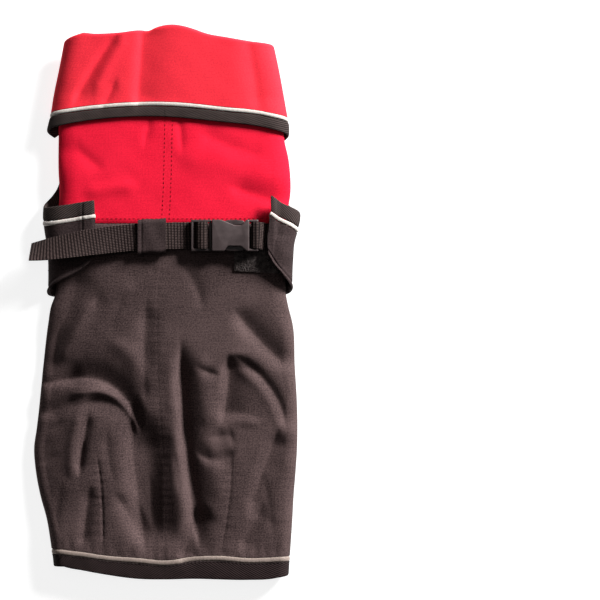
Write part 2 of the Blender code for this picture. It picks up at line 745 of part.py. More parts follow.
def add_front_trim(side, pipe_finish, binding_finish, collection):
    """Add the piping and the binding along one front edge on the belly."""
    ending = "right" if side > 0 else "left"
    u, y = front_line(side)
    tube = COAT.point(side, u, y, PIPE_DEPTH)
    strip = []
    for share in np.linspace(0, 1, 3):
        moved = offset_line(u, y, -EDGE_STEP - share * EDGE_WIDTH)
        strip.append(COAT.point(side, *moved))
    add_tube(f"edge_piping_{ending}", tube, PIPE_RADIUS, pipe_finish, collection)
    add_wall(f"edge_binding_{ending}", np.stack(strip), BINDING, binding_finish, collection)


def chest_lines(side):
    """Return the armhole edge's piping line and the bottom line below it, as u and y."""
    rules = CHEST_RIGHT if side > 0 else CHEST_LEFT
    top_u = [CHEST.around(row.face, row.x_top, row.y_top, side) for row in rules]
    low_u = [CHEST.around(row.face, row.x_low, row.y_low, side) for row in rules]
    top_y = [row.y_top for row in rules]
    chord = chord_lengths(top_u, top_y)
    turn = chord[sum(row.face == "belly" for row in rules) - 1]
    t = np.concatenate([np.linspace(0.0, turn, STRIP_POINTS)[:-1],
                        np.linspace(turn, chord[-1], WING_POINTS)])
    low_y = smooth(chord, [row.y_low for row in rules])
    return smooth(chord, top_u)(t), smooth(chord, top_y)(t), smooth(chord, low_u)(t), low_y(t)


def add_chest(finish, pipe_finish, binding_finish, collection):
    """Add the chest panel and the piping and binding along its two armhole edges."""
    halves = []
    for side, ending in ((1.0, "right"), (-1.0, "left")):
        u, y, low_u, low_y = chest_lines(side)
        along = np.arange(len(u))
        curled = ramp(along, STRIP_POINTS - 4, STRIP_POINTS)
        curled = curled - ramp(along, STRIP_POINTS + 8, STRIP_POINTS + 12)
        step = EDGE_STEP + CURL_STEP * curled
        panel_u, panel_y = offset_line(u, y, -step)
        middle = np.linspace(0, 1, 4)[:-1]
        top_u = np.concatenate([middle * panel_u[0], panel_u])
        top_y = np.concatenate([0 * middle + panel_y[0], panel_y])
        base_u = np.concatenate([middle * low_u[0], low_u])
        base_y = np.concatenate([0 * middle + low_y[0], low_y])
        share = np.linspace(0, 1, CHEST_ROWS + 1)[:, None]
        grid_u = base_u + share * (top_u - base_u)
        grid_y = base_y + share * (top_y - base_y)
        halves.append(CHEST.point(side, grid_u, grid_y))
        depth = PIPE_DEPTH - PIPE_PROUD * ramp(along, STRIP_POINTS, STRIP_POINTS + 5)
        tube = CHEST.point(side, u, y, depth)
        narrowing = ramp(along, STRIP_POINTS - 3, STRIP_POINTS + 3)
        width = CHEST_WIDTH - (CHEST_WIDTH - CHEST_SIDE_WIDTH) * narrowing
        lean = WING_LEAN * ramp(along, len(u) - 7, len(u) - 1) if side > 0 else 0.0
        forward_u = np.gradient(u) / np.hypot(np.gradient(u), np.gradient(y))
        forward_y = np.gradient(y) / np.hypot(np.gradient(u), np.gradient(y))
        strip = []
        for part in np.linspace(0, 1, 3):
            moved_u, moved_y = offset_line(u, y, step + part * width)
            moved_u = moved_u + part * lean * forward_u
            strip.append(CHEST.point(side, moved_u, moved_y + part * lean * forward_y))
        add_tube(f"chest_piping_{ending}", tube, PIPE_RADIUS, pipe_finish, collection)
        add_wall(f"chest_binding_{ending}", np.stack(strip), BINDING, binding_finish, collection)
    right, left = halves
    points = np.concatenate([left[:, :0:-1], right], axis=1)
    add_wall("chest_panel", points, CLOTH, finish, collection)


def add_lining(finish, collection):
    """Add the fleece inside the back, which joins the cloth at the hem and hangs free above it."""
    x = np.linspace(LINING_LEFT, LINING_RIGHT, LINING_COLUMNS + 1)
    bottom = HEM_PIPING(x) + EDGE_STEP + GAP
    share = np.linspace(0, 1, LINING_ROWS + 1)[:, None]
    y = LINING_TOP + share * (bottom - LINING_TOP)
    joined = CLOTH + 2 * GAP
    drop = LINING_DROP - (LINING_DROP - joined) * ramp(share, 0.8, 1.0)
    flat_back = back_face(x, y) - fold_height(x, y)
    z = flat_back - drop + LINING_FOLD_SHARE * fold_height(x, y)
    points = np.stack(np.broadcast_arrays(x, y, z), axis=-1)
    add_wall("lining", points, LINING, finish, collection)


def strap_points(rows, width):
    """Return the outer face of a strap: its width turned by each row's tilt."""
    points = []
    for share in (-0.5, 0.0, 0.5):
        column = []
        for row in rows:
            turn = math.radians(row.tilt)
            across = share * width
            column.append((row.x, row.y + across * math.cos(turn), row.z - across * math.sin(turn)))
        points.append(column)
    return np.array(points)


def add_strap(name, rows, finish, collection, flip):
    """Add a strap from its rows, thickened towards the inside of its turn."""
    points = strap_points(rows, WEB_WIDTH)
    faces = grid_faces(*points.shape[:2])
    faces = faces if flip else faces[:, ::-1]
    return add_sheet(name, points, faces, WEB, finish, collection)


def add_keeper(finish, collection):
    """Add the keeper: a flat loop of cloth round both layers of the left strap."""
    middle = (KEEPER_LOW + KEEPER_HIGH) / 2
    corner = (KEEPER_HIGH - KEEPER_LOW) / 2
    turn = np.linspace(0, math.pi, 6)
    half_y = KEEPER_HALF_WIDTH - corner + corner * np.sin(turn)
    half_z = middle + corner * np.cos(turn)
    loop_y = np.concatenate([half_y, -half_y])
    loop_z = np.concatenate([half_z, 2 * middle - half_z])
    x = np.array(KEEPER_X)[:, None]
    y = KEEPER_Y + KEEPER_SLOPE * (x - KEEPER_X[1]) + loop_y
    points = np.stack(np.broadcast_arrays(x, y, loop_z), axis=-1)
    faces = grid_faces(*points.shape[:2], closed=True)[:, ::-1]
    return add_sheet("keeper", points, faces, KEEPER_WALL, finish, collection)


def rounded_loop(x0, x1, y0, y1, radius, corner_steps=3):
    """Return a rectangle's corner points with round corners."""
    points = []
    for cx, cy, start in ((x1 - radius, y1 - radius, 0), (x0 + radius, y1 - radius, 90),
                          (x0 + radius, y0 + radius, 180), (x1 - radius, y0 + radius, 270)):
        for step in range(corner_steps + 1):
            turn = math.radians(start + 90 * step / corner_steps)
            points.append((cx + radius * math.cos(turn), cy + radius * math.sin(turn)))
    return points


def add_outline(name, loops, low, height, finish, collection):
    """Add a flat plate from an outer loop and its holes."""
    curve = bpy.data.curves.new(name, "CURVE")
    curve.dimensions = "2D"
    curve.fill_mode = "BOTH"
    curve.extrude = height / 2 * MM
    for loop in loops:
        line = curve.splines.new("POLY")
        line.use_cyclic_u = True
        line.points.add(len(loop) - 1)
        for point, (x, y) in zip(line.points, loop):
            point.co = (x * MM, y * MM, 0.0, 1.0)
    made = add_object(name, curve, finish, collection)
    made.location.z = (low + height / 2) * MM
    return made


def prong_outline(start, sign):
    """Return one half of the prongs' outline, from the frame to the middle prong's tip."""
    outer = BUCKLE_WIDTH / 2 - 0.2
    points = [
        (FRAME_END, PRONG_HALF), (start, PRONG_HALF), (start + PRONG_GROWTH, outer),
        (PRONG_END - TIP_CHAMFER, outer), (PRONG_END, PRONG_TIP), (PRONG_END, PRONG_INNER),
        (PRONG_ROOT, PRONG_INNER), (PRONG_ROOT, GUIDE_HALF), (GUIDE_END, GUIDE_HALF),
    ]
    return [(x, BELT_Y + sign * y) for x, y in points]


def add_buckle_male(finish, collection):
    """Add the strap side of the buckle: a frame with two slots, and its prongs."""
    half = BUCKLE_WIDTH / 2
    chamfer = 1.2
    low_side = [
        (MALE_START, BELT_Y - half + chamfer), (MALE_START + chamfer, BELT_Y - half),
        (FRAME_END, BELT_Y - half), *prong_outline(NOTCH_LOW_START, -1),
    ]
    high_side = [
        (MALE_START, BELT_Y + half - chamfer), (MALE_START + chamfer, BELT_Y + half),
        (FRAME_END, BELT_Y + half), *prong_outline(NOTCH_HIGH_START, 1),
    ]
    outer_slot = rounded_loop(*OUTER_SLOT, BELT_Y - SLOT_HALF, BELT_Y + SLOT_HALF, 0.3, 1)
    inner_slot = rounded_loop(*INNER_SLOT, BELT_Y - SLOT_HALF, BELT_Y + SLOT_HALF, 0.3, 1)
    loops = [low_side + high_side[::-1], outer_slot, inner_slot]
    return add_outline("buckle_male", loops, PLATE_LOW, PLATE, finish, collection)


def add_box(name, x0, x1, y0, y1, z0, z1, collection):
    """Add a box between two corners."""
    bpy.ops.mesh.primitive_cube_add(size=1.0)
    made = bpy.context.object
    made.name = name
    made.dimensions = ((x1 - x0) * MM, (y1 - y0) * MM, (z1 - z0) * MM)
    made.location = ((x0 + x1) / 2 * MM, (y0 + y1) / 2 * MM, (z0 + z1) / 2 * MM)
    bpy.ops.object.transform_apply(location=False, rotation=False, scale=True)
    for old in list(made.users_collection):
        old.objects.unlink(made)
    collection.objects.link(made)
    return made


def add_cutter(name, x0, x1, y0, y1, z0, z1, collection):
    """Add a box that cuts the shell."""
    made = add_box(name, x0, x1, y0, y1, z0, z1, collection)
    made.hide_render = True
    made.display_type = "WIRE"
    return made


def add_buckle_female(finish, collection, cutters):
    """Add the socket side of the buckle: a hollow shell with side notches and a strap bar."""
    low_y = BELT_Y - BUCKLE_WIDTH / 2
    high_y = BELT_Y + BUCKLE_WIDTH / 2
    low = SHELL_LOW
    high = SHELL_LOW + SHELL_HEIGHT
    shell = add_box("buckle_female", SHELL_START, SHELL_START + SHELL_LENGTH, low_y, high_y, low,
                    high, collection)
    shell.data.materials.append(finish)
    round_off = shell.modifiers.new("Round", "BEVEL")
    round_off.width = 1.6 * MM
    round_off.segments = 2
    floor = PLATE_LOW - PLATE_PLAY
    roof = PLATE_LOW + PLATE + PLATE_PLAY
    slot = (BELT_Y - SLOT_HALF - 0.1, BELT_Y + SLOT_HALF + 0.1)
    inner_low = low_y + SHELL_WALL
    inner_high = high_y - SHELL_WALL
    deep = 2.0
    cuts = (
        ("socket", SHELL_START - deep, SOCKET_END, inner_low, inner_high, floor, roof),
        ("notch_low", NOTCH_LOW_START - 0.2, PRONG_END, low_y - deep, inner_low + deep, floor, roof),
        ("notch_high", NOTCH_HIGH_START - 0.2, PRONG_END, inner_high - deep, high_y + deep, floor,
         roof),
        ("strap_slot", *STRAP_SLOT, *slot, low - deep, high + deep),
        ("bar_low", BAR_START, BAR_CUT_END, *slot, low - deep, low + BAR_LOWERED),
        ("bar_high", BAR_START, BAR_CUT_END, *slot, high - BAR_SUNK, high + deep),
    )
    for name, *box in cuts:
        cut = shell.modifiers.new(name, "BOOLEAN")
        cut.operation = "DIFFERENCE"
        cut.object = add_cutter(f"cut_{name}", *box, cutters)
    return shell


def add_patch(finish, collection):
    """Add the loop patch sewn on the back beneath the buckle."""
    over = np.linspace(PATCH_INNER, PATCH_OUTER, 8)
    low = PATCH_LOW - PATCH_SLOPE * (PATCH_INNER - over)
    y = low + np.linspace(0, 1, 5)[:, None] * (PATCH_HIGH - low)
    _, flat, _, _, _, _, lower, upper = COAT.section(1.0, y)
    points = COAT.point(1.0, flat + lower + upper + over, y, -GAP - PATCH)
    return add_wall("patch", points, PATCH, finish, collection)


def add_label(finish, collection):
    """Add the bare label that lies under the left belly flap."""
    half_width = LABEL_WIDTH / 2
    half_length = LABEL_LENGTH / 2
    made = add_box("label", LABEL_X - half_width, LABEL_X + half_width, LABEL_Y - half_length,
                   LABEL_Y + half_length, 0.0, LABEL, collection)
    made.data.materials.append(finish)
    return made


def main():
    """Build the coat's pieces in a collection of their own."""
    for old in list(bpy.data.objects):
        bpy.data.objects.remove(old, do_unlink=True)
    coat = bpy.data.collections.new("dog_coat")
    cutters = bpy.data.collections.new("cutters")
    bpy.context.scene.collection.children.link(coat)
    bpy.context.scene.collection.children.link(cutters)

    black = material("black_softshell", (0.045, 0.030, 0.030), 0.85)
    red = material("red_softshell", (0.80, 0.010, 0.035), 0.75)
    twill = material("twill_binding", (0.030, 0.021, 0.020), 0.80)
    grey = material("piping", (0.60, 0.52, 0.48), 0.45)
    webbing = material("webbing", (0.040, 0.030, 0.028), 0.75)
    plastic = material("dark_plastic", (0.060, 0.052, 0.052), 0.50)
    fleece = material("grey_fleece", (0.30, 0.27, 0.28), 0.95)
    pile = material("loop_pile", (0.040, 0.030, 0.030), 0.95)
    rubber = material("label_rubber", (0.10, 0.075, 0.075), 0.60)

    for side in (1.0, -1.0):
        add_body(side, black, coat)
        add_neck(side, red, coat)
        add_front_trim(side, grey, twill, coat)
    add_collar(red, coat)
    add_collar_trim(grey, twill, coat)
    add_hem_trim(grey, twill, coat)
    add_chest(black, grey, twill, coat)
    add_lining(fleece, coat)
    add_strap("belt_left", BELT_LEFT, webbing, coat, False)
    add_strap("belt_right", BELT_RIGHT, webbing, coat, True)
    add_keeper(black, coat)
    add_buckle_male(plastic, coat)
    add_buckle_female(plastic, coat, cutters)
    add_patch(pile, coat)
    add_label(rubber, coat)


main()
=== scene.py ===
"""Looks of the dog coat that lies flat with its back up: cloth, trim, strap, buckle and studio.

Sizes are in millimetres in the frame's axes. The collar is at +Y, the hem at -Y, X = 0 is the
middle of the back and +X the side with the buckle. The belly lies on the floor at z = 0.
MM turns millimetres into metres when a mesh is made.
"""

from __future__ import annotations

import logging
import math
from dataclasses import dataclass, field
from enum import Enum
from typing import Callable, NamedTuple, Sequence

import bpy
import numpy as np
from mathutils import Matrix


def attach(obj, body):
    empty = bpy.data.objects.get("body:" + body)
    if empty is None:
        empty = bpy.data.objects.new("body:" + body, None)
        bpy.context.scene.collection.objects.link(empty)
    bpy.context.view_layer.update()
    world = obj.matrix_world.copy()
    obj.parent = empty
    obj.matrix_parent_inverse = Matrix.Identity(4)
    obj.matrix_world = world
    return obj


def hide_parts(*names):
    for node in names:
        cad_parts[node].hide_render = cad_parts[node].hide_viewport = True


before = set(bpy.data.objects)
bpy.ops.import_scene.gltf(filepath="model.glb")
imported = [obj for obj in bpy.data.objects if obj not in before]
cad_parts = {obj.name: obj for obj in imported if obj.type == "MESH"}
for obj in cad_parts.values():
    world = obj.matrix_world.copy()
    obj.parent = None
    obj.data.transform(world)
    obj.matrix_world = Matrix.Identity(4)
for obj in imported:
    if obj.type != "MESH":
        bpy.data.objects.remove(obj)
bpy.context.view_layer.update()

LOG = logging.getLogger("dog_coat")
Array = np.ndarray
Color = tuple[float, float, float]
Height = Callable[[Array, Array], Array]
MM = 0.001
ROOT = "root"
FLOOR_Z = -0.0003

SIDES = ((1.0, "right"), (-1.0, "left"))

# Cloth, trim and the room between them, as in the solids
CLOTH = 1.8
GAP = 0.35
SEAM_GAP = 0.3
PIPE_RADIUS = 1.3
PIPE_PROUD = 0.65
PIPE_DEPTH = PIPE_RADIUS + 0.2
BINDING = 1.9
EDGE_STEP = PIPE_RADIUS + GAP
CURL_STEP = 0.5
COLLAR_CLEAR = 0.15
POCKET_STEP = 3.5
EDGE_WIDTH = 9.6
CHEST_WIDTH = 11.0
CHEST_SIDE_WIDTH = 10.0
WING_LEAN = 6.0
CASING_LINES = (2.5, 17.0)
BAND_HEIGHT = 60.0

# How the trim is drawn: the beads' width over their height, and the seam beneath the hem's bead
PIPE_SPREAD = 1.12
PIPE_CREST = 0.5
HEM_PIPE_SPREAD = 1.40
HEM_PIPE_DROP = 0.30
HEM_TUCK = 0.35
FLANGE_REACH = 4.0
FLANGE = 0.4
FLANGE_DEPTH = BINDING + 0.05

# Heights and radii of the flattened tube and of what lies on it
BACK_HEIGHT = 13.5
CROWN = 1.5
HALF_WIDTH = 90.0
SIDE_REACH = 14.0
SIDE_TIGHTER = 6.0
LAYER = 3.0
WAIST_SHARE = 0.45
COLLAR_RISE = 2.6
CHEST_RISE = CLOTH + GAP
RIGHT_LIFT = 4.6
RIGHT_SETTLED = 2.4
WING_DROP = 0.6
COLLAR_TURN = 2.2
COLLAR_INSIDE = 10.0
LINING = 1.0
LINING_DROP = 4.9
LINING_FOLD_SHARE = 0.75

# Folds, and the angle in degrees from which an edge is shaded as a crisp one
FADE = 12.0
TROUGH_POWER = 1.6
CRISP_ANGLE = 50.0

# Places along the coat
SEAM_Y = 56.8
CHEST_BOTTOM = 3.0
COLLAR_FRONT = 26.0
NECK_FRONT = 27.0
HEM_FRONT = 71.0
HEM_START = 1.1
LINING_TOP = -106.0
LINING_LEFT = -52.0
LINING_RIGHT = 44.0

# Stitches: rings along one, points round it, and distances of the rows from their seams
STITCH_RINGS = 6
STITCH_SIDES = 6
HEM_STITCH = 1.0
EDGE_STITCH = 1.6
WAIST_STITCH = 3.4
SEAM_STITCH = 2.7
SEAM_SLIT = 0.02

# Strap, patch and label
WEB_WIDTH = 19.4
WEB = 1.1
BELT_Y = 48.0
PATCH = 1.0
PATCH_INNER = 22.6
PATCH_OUTER = -10.0
PATCH_LOW = 22.6
PATCH_HIGH = 53.0
PATCH_SLOPE = 0.06
LABEL_X = -58.3
LABEL_Y = -98.8
LABEL_WIDTH = 21.6
LABEL_LENGTH = 22.3
LABEL = 1.0


class SideRow(NamedTuple):
    """Reach of an outline to the left and the right at one y."""

    y: float
    left: float
    right: float


class Fold(NamedTuple):
    """A soft trough along a bowed line; a depth below zero makes it a ridge.

    The width is its reach to the left of its direction, and far its reach to the right, or 0
    where that is the same.
    """

    x0: float
    y0: float
    x1: float
    y1: float
    bow: float
    depth: float
    width: float
    far: float = 0.0


class RimRow(NamedTuple):
    """A point of an edge: its place across the coat and its y."""

    x: float
    y: float


class HemRow(NamedTuple):
    """The hem's piping and the lower edge of its binding at one x."""

    x: float
    piping: float
    lower: float


class Face(Enum):
    """Where on the flattened tube a place lies."""

    BELLY = "belly"
    SIDE = "side"
    BACK = "back"


class Rule(NamedTuple):
    """A ruling line of the chest panel, from its armhole edge to its bottom edge."""

    face: Face
    x_top: float
    y_top: float
    x_low: float
    y_low: float


class StrapRow(NamedTuple):
    """A place of the strap's outer face: its middle and the turn of its width in degrees."""

    x: float
    y: float
    z: float
    tilt: float


def rows(kind: type, table: Sequence[tuple]) -> tuple:
    """Return the rows of a table as records of one kind."""
    return tuple(kind(*row) for row in table)


COAT_SIDES = rows(SideRow, (
    (-202, 80, 88.6), (-190, 81, 89.2), (-175, 82.9, 90.3), (-157, 85.9, 91.5),
    (-139, 90.8, 92.5), (-122, 94, 93.9), (-104, 95.2, 95), (-92, 93.5, 95.2), (-74, 91.4, 94.9),
    (-46, 88.7, 93.3), (-15, 85, 91.6), (-3, 82.9, 88.6), (5, 80, 87), (20, 79, 86.5),
    (60, 77.6, 87), (80, 76.6, 90.2), (94, 77.2, 89.8), (106, 77.3, 88.2), (114, 77.2, 86.3),
    (126, 77, 84.6), (148, 76.6, 81.6), (169, 73.2, 77.8), (190, 69.2, 73.2),
))
COLLAR_SIDES = rows(SideRow, (
    (100, 87, 88.6), (116, 86.6, 88.9), (126, 85.4, 89.4), (136, 82.9, 87.6), (148, 81, 85.5),
    (169, 76.7, 81.6), (190, 72.8, 77),
))
CHEST_SIDES = rows(SideRow, (
    (-4, 83.4, 88.4), (4, 83.6, 89), (17, 84.6, 91.2), (31, 85, 92.2), (43, 86.2, 93.2),
    (52, 87.6, 95.6), (60, 88.6, 97.2), (72, 88.2, 97),
))

# The large folds: those of the solids, drawn broader and with softer ends
FOLDS = rows(Fold, (
    (11, -22, 26.5, -184, -4.2, 7, 9, 3.4), (26, -144, 11, -190, 0, 4.4, 10, 5),
    (-89, -61, -16, -96, 23, 6.6, 13, 4), (-112, -60, -56, -56, 1, 1.8, 13, 6),
    (-24, -72, -12, -186, -3, 7.6, 20, 6), (6, -90, 16, -178, -1.5, -2.6, 9),
    (-90, -84, -58, -66, 0.8, 2.8, 5, 5), (-66, -75, -21, -98, 14.5, 3, 5, 9),
    (-74, -70, -19, -97, 18.5, -1.6, 3.4), (-54.5, -78, -62, -128, -1, 2.4, 3.6, 2.6),
    (-60, -74, -68, -130, -3, -1.4, 4), (-50, 4, -80, -46, 0, -1.8, 5),
    (-13, 4, -13, -78, -2, 2.6, 8, 5), (19, -43, 42, -53, -2, 1.5, 4.5),
    (46, -36, 89, -97, 9.5, 2.6, 4), (42, -42, 84, -100, 9.5, -0.7, 3.8),
    (48, -3, 92, -50, -2, 4.2, 10, 6), (46, -36, 40, -90, 1.5, 6.4, 12, 3.6),
    (26, -97.5, 50, -95.5, 0, 1.8, 4, 7), (84, -88, 60, -158, -2, 5, 12, 4),
    (72, -144, 52, -182, 0, 3.4, 9, 4.5), (20, -106, 54, -107, -7, 2.4, 7, 4),
    (-53.5, -130, -59.5, -180, -1, 2.8, 5.2, 4), (-38, -136, -14, -178, 2, 2.8, 6.5, 5),
    (-50, -109, -45.5, -178, 2, 0.5, 4), (46, -103, 39, -178, 3, 0.6, 4),
))

# Broad slopes of the flanks, which sink towards the side folds
FLANKS = rows(Fold, (
    (-93, 4, -97, -182, 0, 6.5, 18), (-60, 34, -92, -58, 0, 4.6, 13, 30),
    (98, -12, 100, -170, 0, 2, 12), (-10, -88, -8, -178, 0, 2.6, 11),
))

# Finer creases of the back: darts, banks beside the large folds, then creases left to right
CREASES = rows(Fold, (
    (-50, -106, -45.2, -180, 2, 0.75, 0.8), (47.5, -100, 39.2, -181, 3, 0.45, 0.8),
    (11.4, -30, 25.2, -156, -4.2, 1.6, 3, 2.2), (26.5, -34, 32, -94, -1, -1.1, 6.5),
    (33, -88, 40.5, -146, -2, -0.9, 6.5), (3, -36, 5, -84, 0, -0.8, 5),
    (-44, -25, -10, -70, 8, -1, 6), (-58.2, -96, -62.6, -129, -1, 1.2, 1.8),
    (-27, -132, -8, -170, 2, -0.7, 3.6), (-24, -103, 12, -102, 0.6, 1.8, 8, 14),
    (-11.5, -122, -9.5, -166, 0, 0.8, 3.2, 2.2), (-1.6, -108, -1.2, -174, 0, -0.5, 2.6),
    (5, -104, 11, -140, 1, 0.8, 3), (18, -148, 4, -178, 3, 0.7, 3),
    (40, -40, 64, -36, 1, -0.7, 3.4), (22, -46.5, 42, -53.5, -0.8, 1, 2.4, 3.4),
    (36, -83.5, 71, -89, 1.6, -1.2, 4), (45, -88, 50, -106, 0, 0.9, 2.6),
    (80, -116, 56, -153, -1, -0.9, 4.4), (-3, 32, -30, 10, 1.5, 1.1, 4.6),
    (6, 38, 28, -8, 3, 1.4, 5.4, 4), (12, 31, 56, 27, 1, 1, 3, 5),
    (-44, 12, -61, -16, 1, 1.1, 5.4), (-30, 8, -45, -26, 2, 0.6, 4.6),
    (-88, -96, -68, -84, 1, 0.8, 3), (-92, -118, -72, -108, 0.5, 0.6, 3),
    (-74, -128, -81, -172, -1, 0.8, 3.4), (-42, -90, -36, -132, -2, 0.8, 3.4),
    (70, -124, 78, -172, 1, 0.6, 3.4), (88, -116, 86, -172, 1, 0.6, 3.4),
))

# Creases of the red neck and collar, the wings, and the belly pieces on the underside
NECK_CREASES = rows(Fold, (
    (-74, 122, -42, 94, -2, 0.9, 5), (-62, 78, -16, 84, 1, -0.9, 5),
    (4, 108, 88, 84, 2, -0.9, 11), (44, 84, 90, 68, 1, 1.5, 8, 5),
    (9, 140, 12, 104, 0.5, 0.8, 3, 2.4), (-9, 138, -16, 108, -0.5, 0.8, 3.4, 2.4),
    (22, 124, 74, 104, -2, 0.8, 6),
))
COLLAR_CREASES = rows(Fold, (
    (-31, 198, -68, 138, -2, 1.9, 5, 3), (-26, 196, -52, 146, -2, -1, 4.5),
    (-34, 164, -48, 136, 1, 1.3, 3.4), (-15, 208, -20, 134, 0, 2.6, 14, 4),
    (-74, 196, -84, 140, 0, 1.4, 8), (58, 200, 68, 134, 1, 2, 13, 7),
))
WING_CREASES = rows(Fold, (
    (-82, 34, -60, 48, 2, 0.7, 2.6), (-80, 22, -62, 34, -1, 0.5, 2.2),
    (84, 30, 90, 54, 1, 0.6, 2.4),
))
BELLY_CREASES = rows(Fold, (
    (-30, -30, -38, -110, 3, 0.9, 5), (-70, -20, -76, -84, -2, 0.8, 4),
    (-28, -120, -60, -150, -3, 0.8, 4.5), (34, -24, 30, -96, -2, 0.9, 5),
    (66, -30, 74, -120, 2, 0.9, 5), (44, -90, 58, -148, 2, 0.8, 4.5),
))

COLLAR_PIPING_BACK = rows(RimRow, (
    (-83, 136), (-50, 140.4), (-13, 142.8), (5, 142.5), (41, 139.1), (73, 135), (88, 130),
))
COLLAR_PIPING_BELLY = rows(RimRow, (
    (26, 162), (45, 155), (58, 146), (84, 124),
))
COLLAR_EDGE_BACK = rows(RimRow, (
    (-83, 125.5), (-58, 130.3), (-26, 133.4), (-4, 133.6), (35, 130.3), (73, 125.2), (88, 121),
))
COLLAR_EDGE_BELLY = rows(RimRow, (
    (26, 150.5), (45, 143), (58, 134), (84, 113.5),
))
COLLAR_TOP_BACK = rows(RimRow, (
    (-78, 188.6), (-72.8, 190.4), (-62.5, 194), (-50.3, 193.4), (-32.3, 194.3), (-17.5, 195.9),
    (-12, 195.6), (-6.7, 197.9), (5, 200), (12.3, 199.1), (20, 196.9), (29, 193.7), (45, 190.8),
    (60.5, 188.2), (78, 185.6),
))
COLLAR_TOP_BELLY = rows(RimRow, (
    (26, 176), (45, 180), (84, 185.6),
))

HEM = rows(HemRow, (
    (-83, -177, -186), (-73, -179.6, -190.6), (-60, -181.3, -193.2), (-42, -183.9, -196.4),
    (-20, -185.6, -199.2), (0, -187.3, -199.6), (22, -184.6, -199.2), (38, -184, -199.6),
    (60, -185.6, -200), (80, -185, -198.8), (91, -184, -195.6),
))
FRONT_RIGHT = rows(RimRow, (
    (17, 12), (15, -40), (13, -90), (12.6, -118), (14.6, -134), (21, -147), (34, -160),
    (52, -172), (70, -181), (83.6, -184.2),
))
FRONT_LEFT = rows(RimRow, (
    (15, 12), (13.6, -40), (12.6, -88), (13.6, -112), (18, -131), (28, -149), (42, -165),
    (56, -174), (68, -178), (75.9, -179.3),
))
CHEST_RIGHT = rows(Rule, (
    (Face.BELLY, 30.6, 191, 8, CHEST_BOTTOM), (Face.BELLY, 29, 172, 14, CHEST_BOTTOM),
    (Face.BELLY, 28.3, 155, 20, CHEST_BOTTOM), (Face.BELLY, 30.5, 138, 28, CHEST_BOTTOM),
    (Face.BELLY, 37.5, 124, 38, CHEST_BOTTOM), (Face.BELLY, 48.5, 106.1, 50, CHEST_BOTTOM),
    (Face.BELLY, 60.9, 85.4, 62, CHEST_BOTTOM), (Face.BELLY, 74, 67.5, 74, CHEST_BOTTOM),
    (Face.SIDE, 95, 52, 89, 9), (Face.BACK, 88.5, 56.5, 86, 16.5),
    (Face.BACK, 81, 60.3, 80, 24.5), (Face.BACK, 75.5, 64, 74.5, 33.5),
))
CHEST_LEFT = rows(Rule, (
    (Face.BELLY, 31.4, 191, 8, CHEST_BOTTOM), (Face.BELLY, 34.1, 176, 13, CHEST_BOTTOM),
    (Face.BELLY, 38.2, 161, 19, CHEST_BOTTOM), (Face.BELLY, 45.1, 143, 28, CHEST_BOTTOM),
    (Face.BELLY, 51.6, 123.5, 38, CHEST_BOTTOM), (Face.BELLY, 60.8, 97.8, 51, CHEST_BOTTOM),
    (Face.BELLY, 68.6, 74.6, 63, CHEST_BOTTOM), (Face.SIDE, 88, 57, 84, 6),
    (Face.BACK, 71, 58.6, 71, 18), (Face.BACK, 60.4, 60.4, 60, 24), (Face.BACK, 50.4, 62, 50, 33),
))
BELT_LEFT = rows(StrapRow, (
    (-60, 42.2, 16.7, 0), (-52, 43, 16.9, 0), (-36, 44.4, 17.1, 0), (-18, 46.2, 17.1, 0),
    (2, 47.4, 17, 0), (15, 47.9, 15.9, 0), (27.6, 48, 15.9, 0), (30.2, 48, 16.8, 0),
    (31, 48, 18.8, 0), (31, 48, 21.6, 0), (30.1, 48, 23.4, 0), (28, 48, 24, 0), (25.6, 48, 24, 0),
    (23.8, 48, 23.4, 0), (23, 48, 21.6, 0), (22.3, 48, 19.3, 0), (20.6, 48, 18.1, 0),
    (15, 47.9, 18.3, 0), (2, 47.6, 19.5, 0), (-18, 46.9, 19.6, 0), (-36, 45.3, 20.7, 5),
    (-52, 43.3, 22.3, 14), (-66, 41.2, 23, 23), (-82, 38.7, 22.2, 34), (-97, 36.6, 19.4, 50),
))
BELT_RIGHT = rows(StrapRow, (
    (77, 46.4, 15.7, 0), (73, 47, 15.9, 0), (69, 47.9, 16.3, 0), (64.8, 48, 16.7, 0),
    (62.6, 48, 17.9, 0), (62, 48, 20.5, 0), (62.8, 48, 23.6, 0), (65, 48, 24.4, 0),
    (67.6, 48, 23.9, 0), (69.9, 47.6, 21, 0), (72, 47.1, 18.5, 0), (77, 46.4, 18.1, 0),
))


def smooth(knots: Sequence[float], values: Sequence[float]) -> Callable[[Array], Array]:
    """Return a soft curve through the rows of a table.

    Between two rows it is a cubic whose slopes at the rows are the table's own mean slopes.

    Args:
        knots: The first column of the table.
        values: The second column.

    Returns:
        The second column as a function of the first.
    """
    order = np.argsort(knots)
    k = np.asarray(knots, float)[order]
    v = np.asarray(values, float)[order]
    slope = np.gradient(v, k)

    def at(t: Array) -> Array:
        """Return the curve's value at t."""
        t = np.clip(t, k[0], k[-1])
        i = np.clip(np.searchsorted(k, t, side="right") - 1, 0, len(k) - 2)
        h = k[i + 1] - k[i]
        s = (t - k[i]) / h
        start = v[i] * (1 + 2 * s) * (1 - s) ** 2 + slope[i] * h * s * (1 - s) ** 2
        end = v[i + 1] * s * s * (3 - 2 * s) + slope[i + 1] * h * s * s * (s - 1)
        return start + end

    return at


def ramp(value: Array, start: float, end: float) -> Array:
    """Return 0 before start and 1 after end, with a soft step between."""
    t = np.clip((value - start) / (end - start), 0.0, 1.0)
    return t * t * (3 - 2 * t)


def bump(value: Array, centre: float, width: float) -> Array:
    """Return a soft bell that is 1 at its centre: exp(-((value - centre) / width) squared)."""
    return np.exp(-(((value - centre) / width) ** 2))


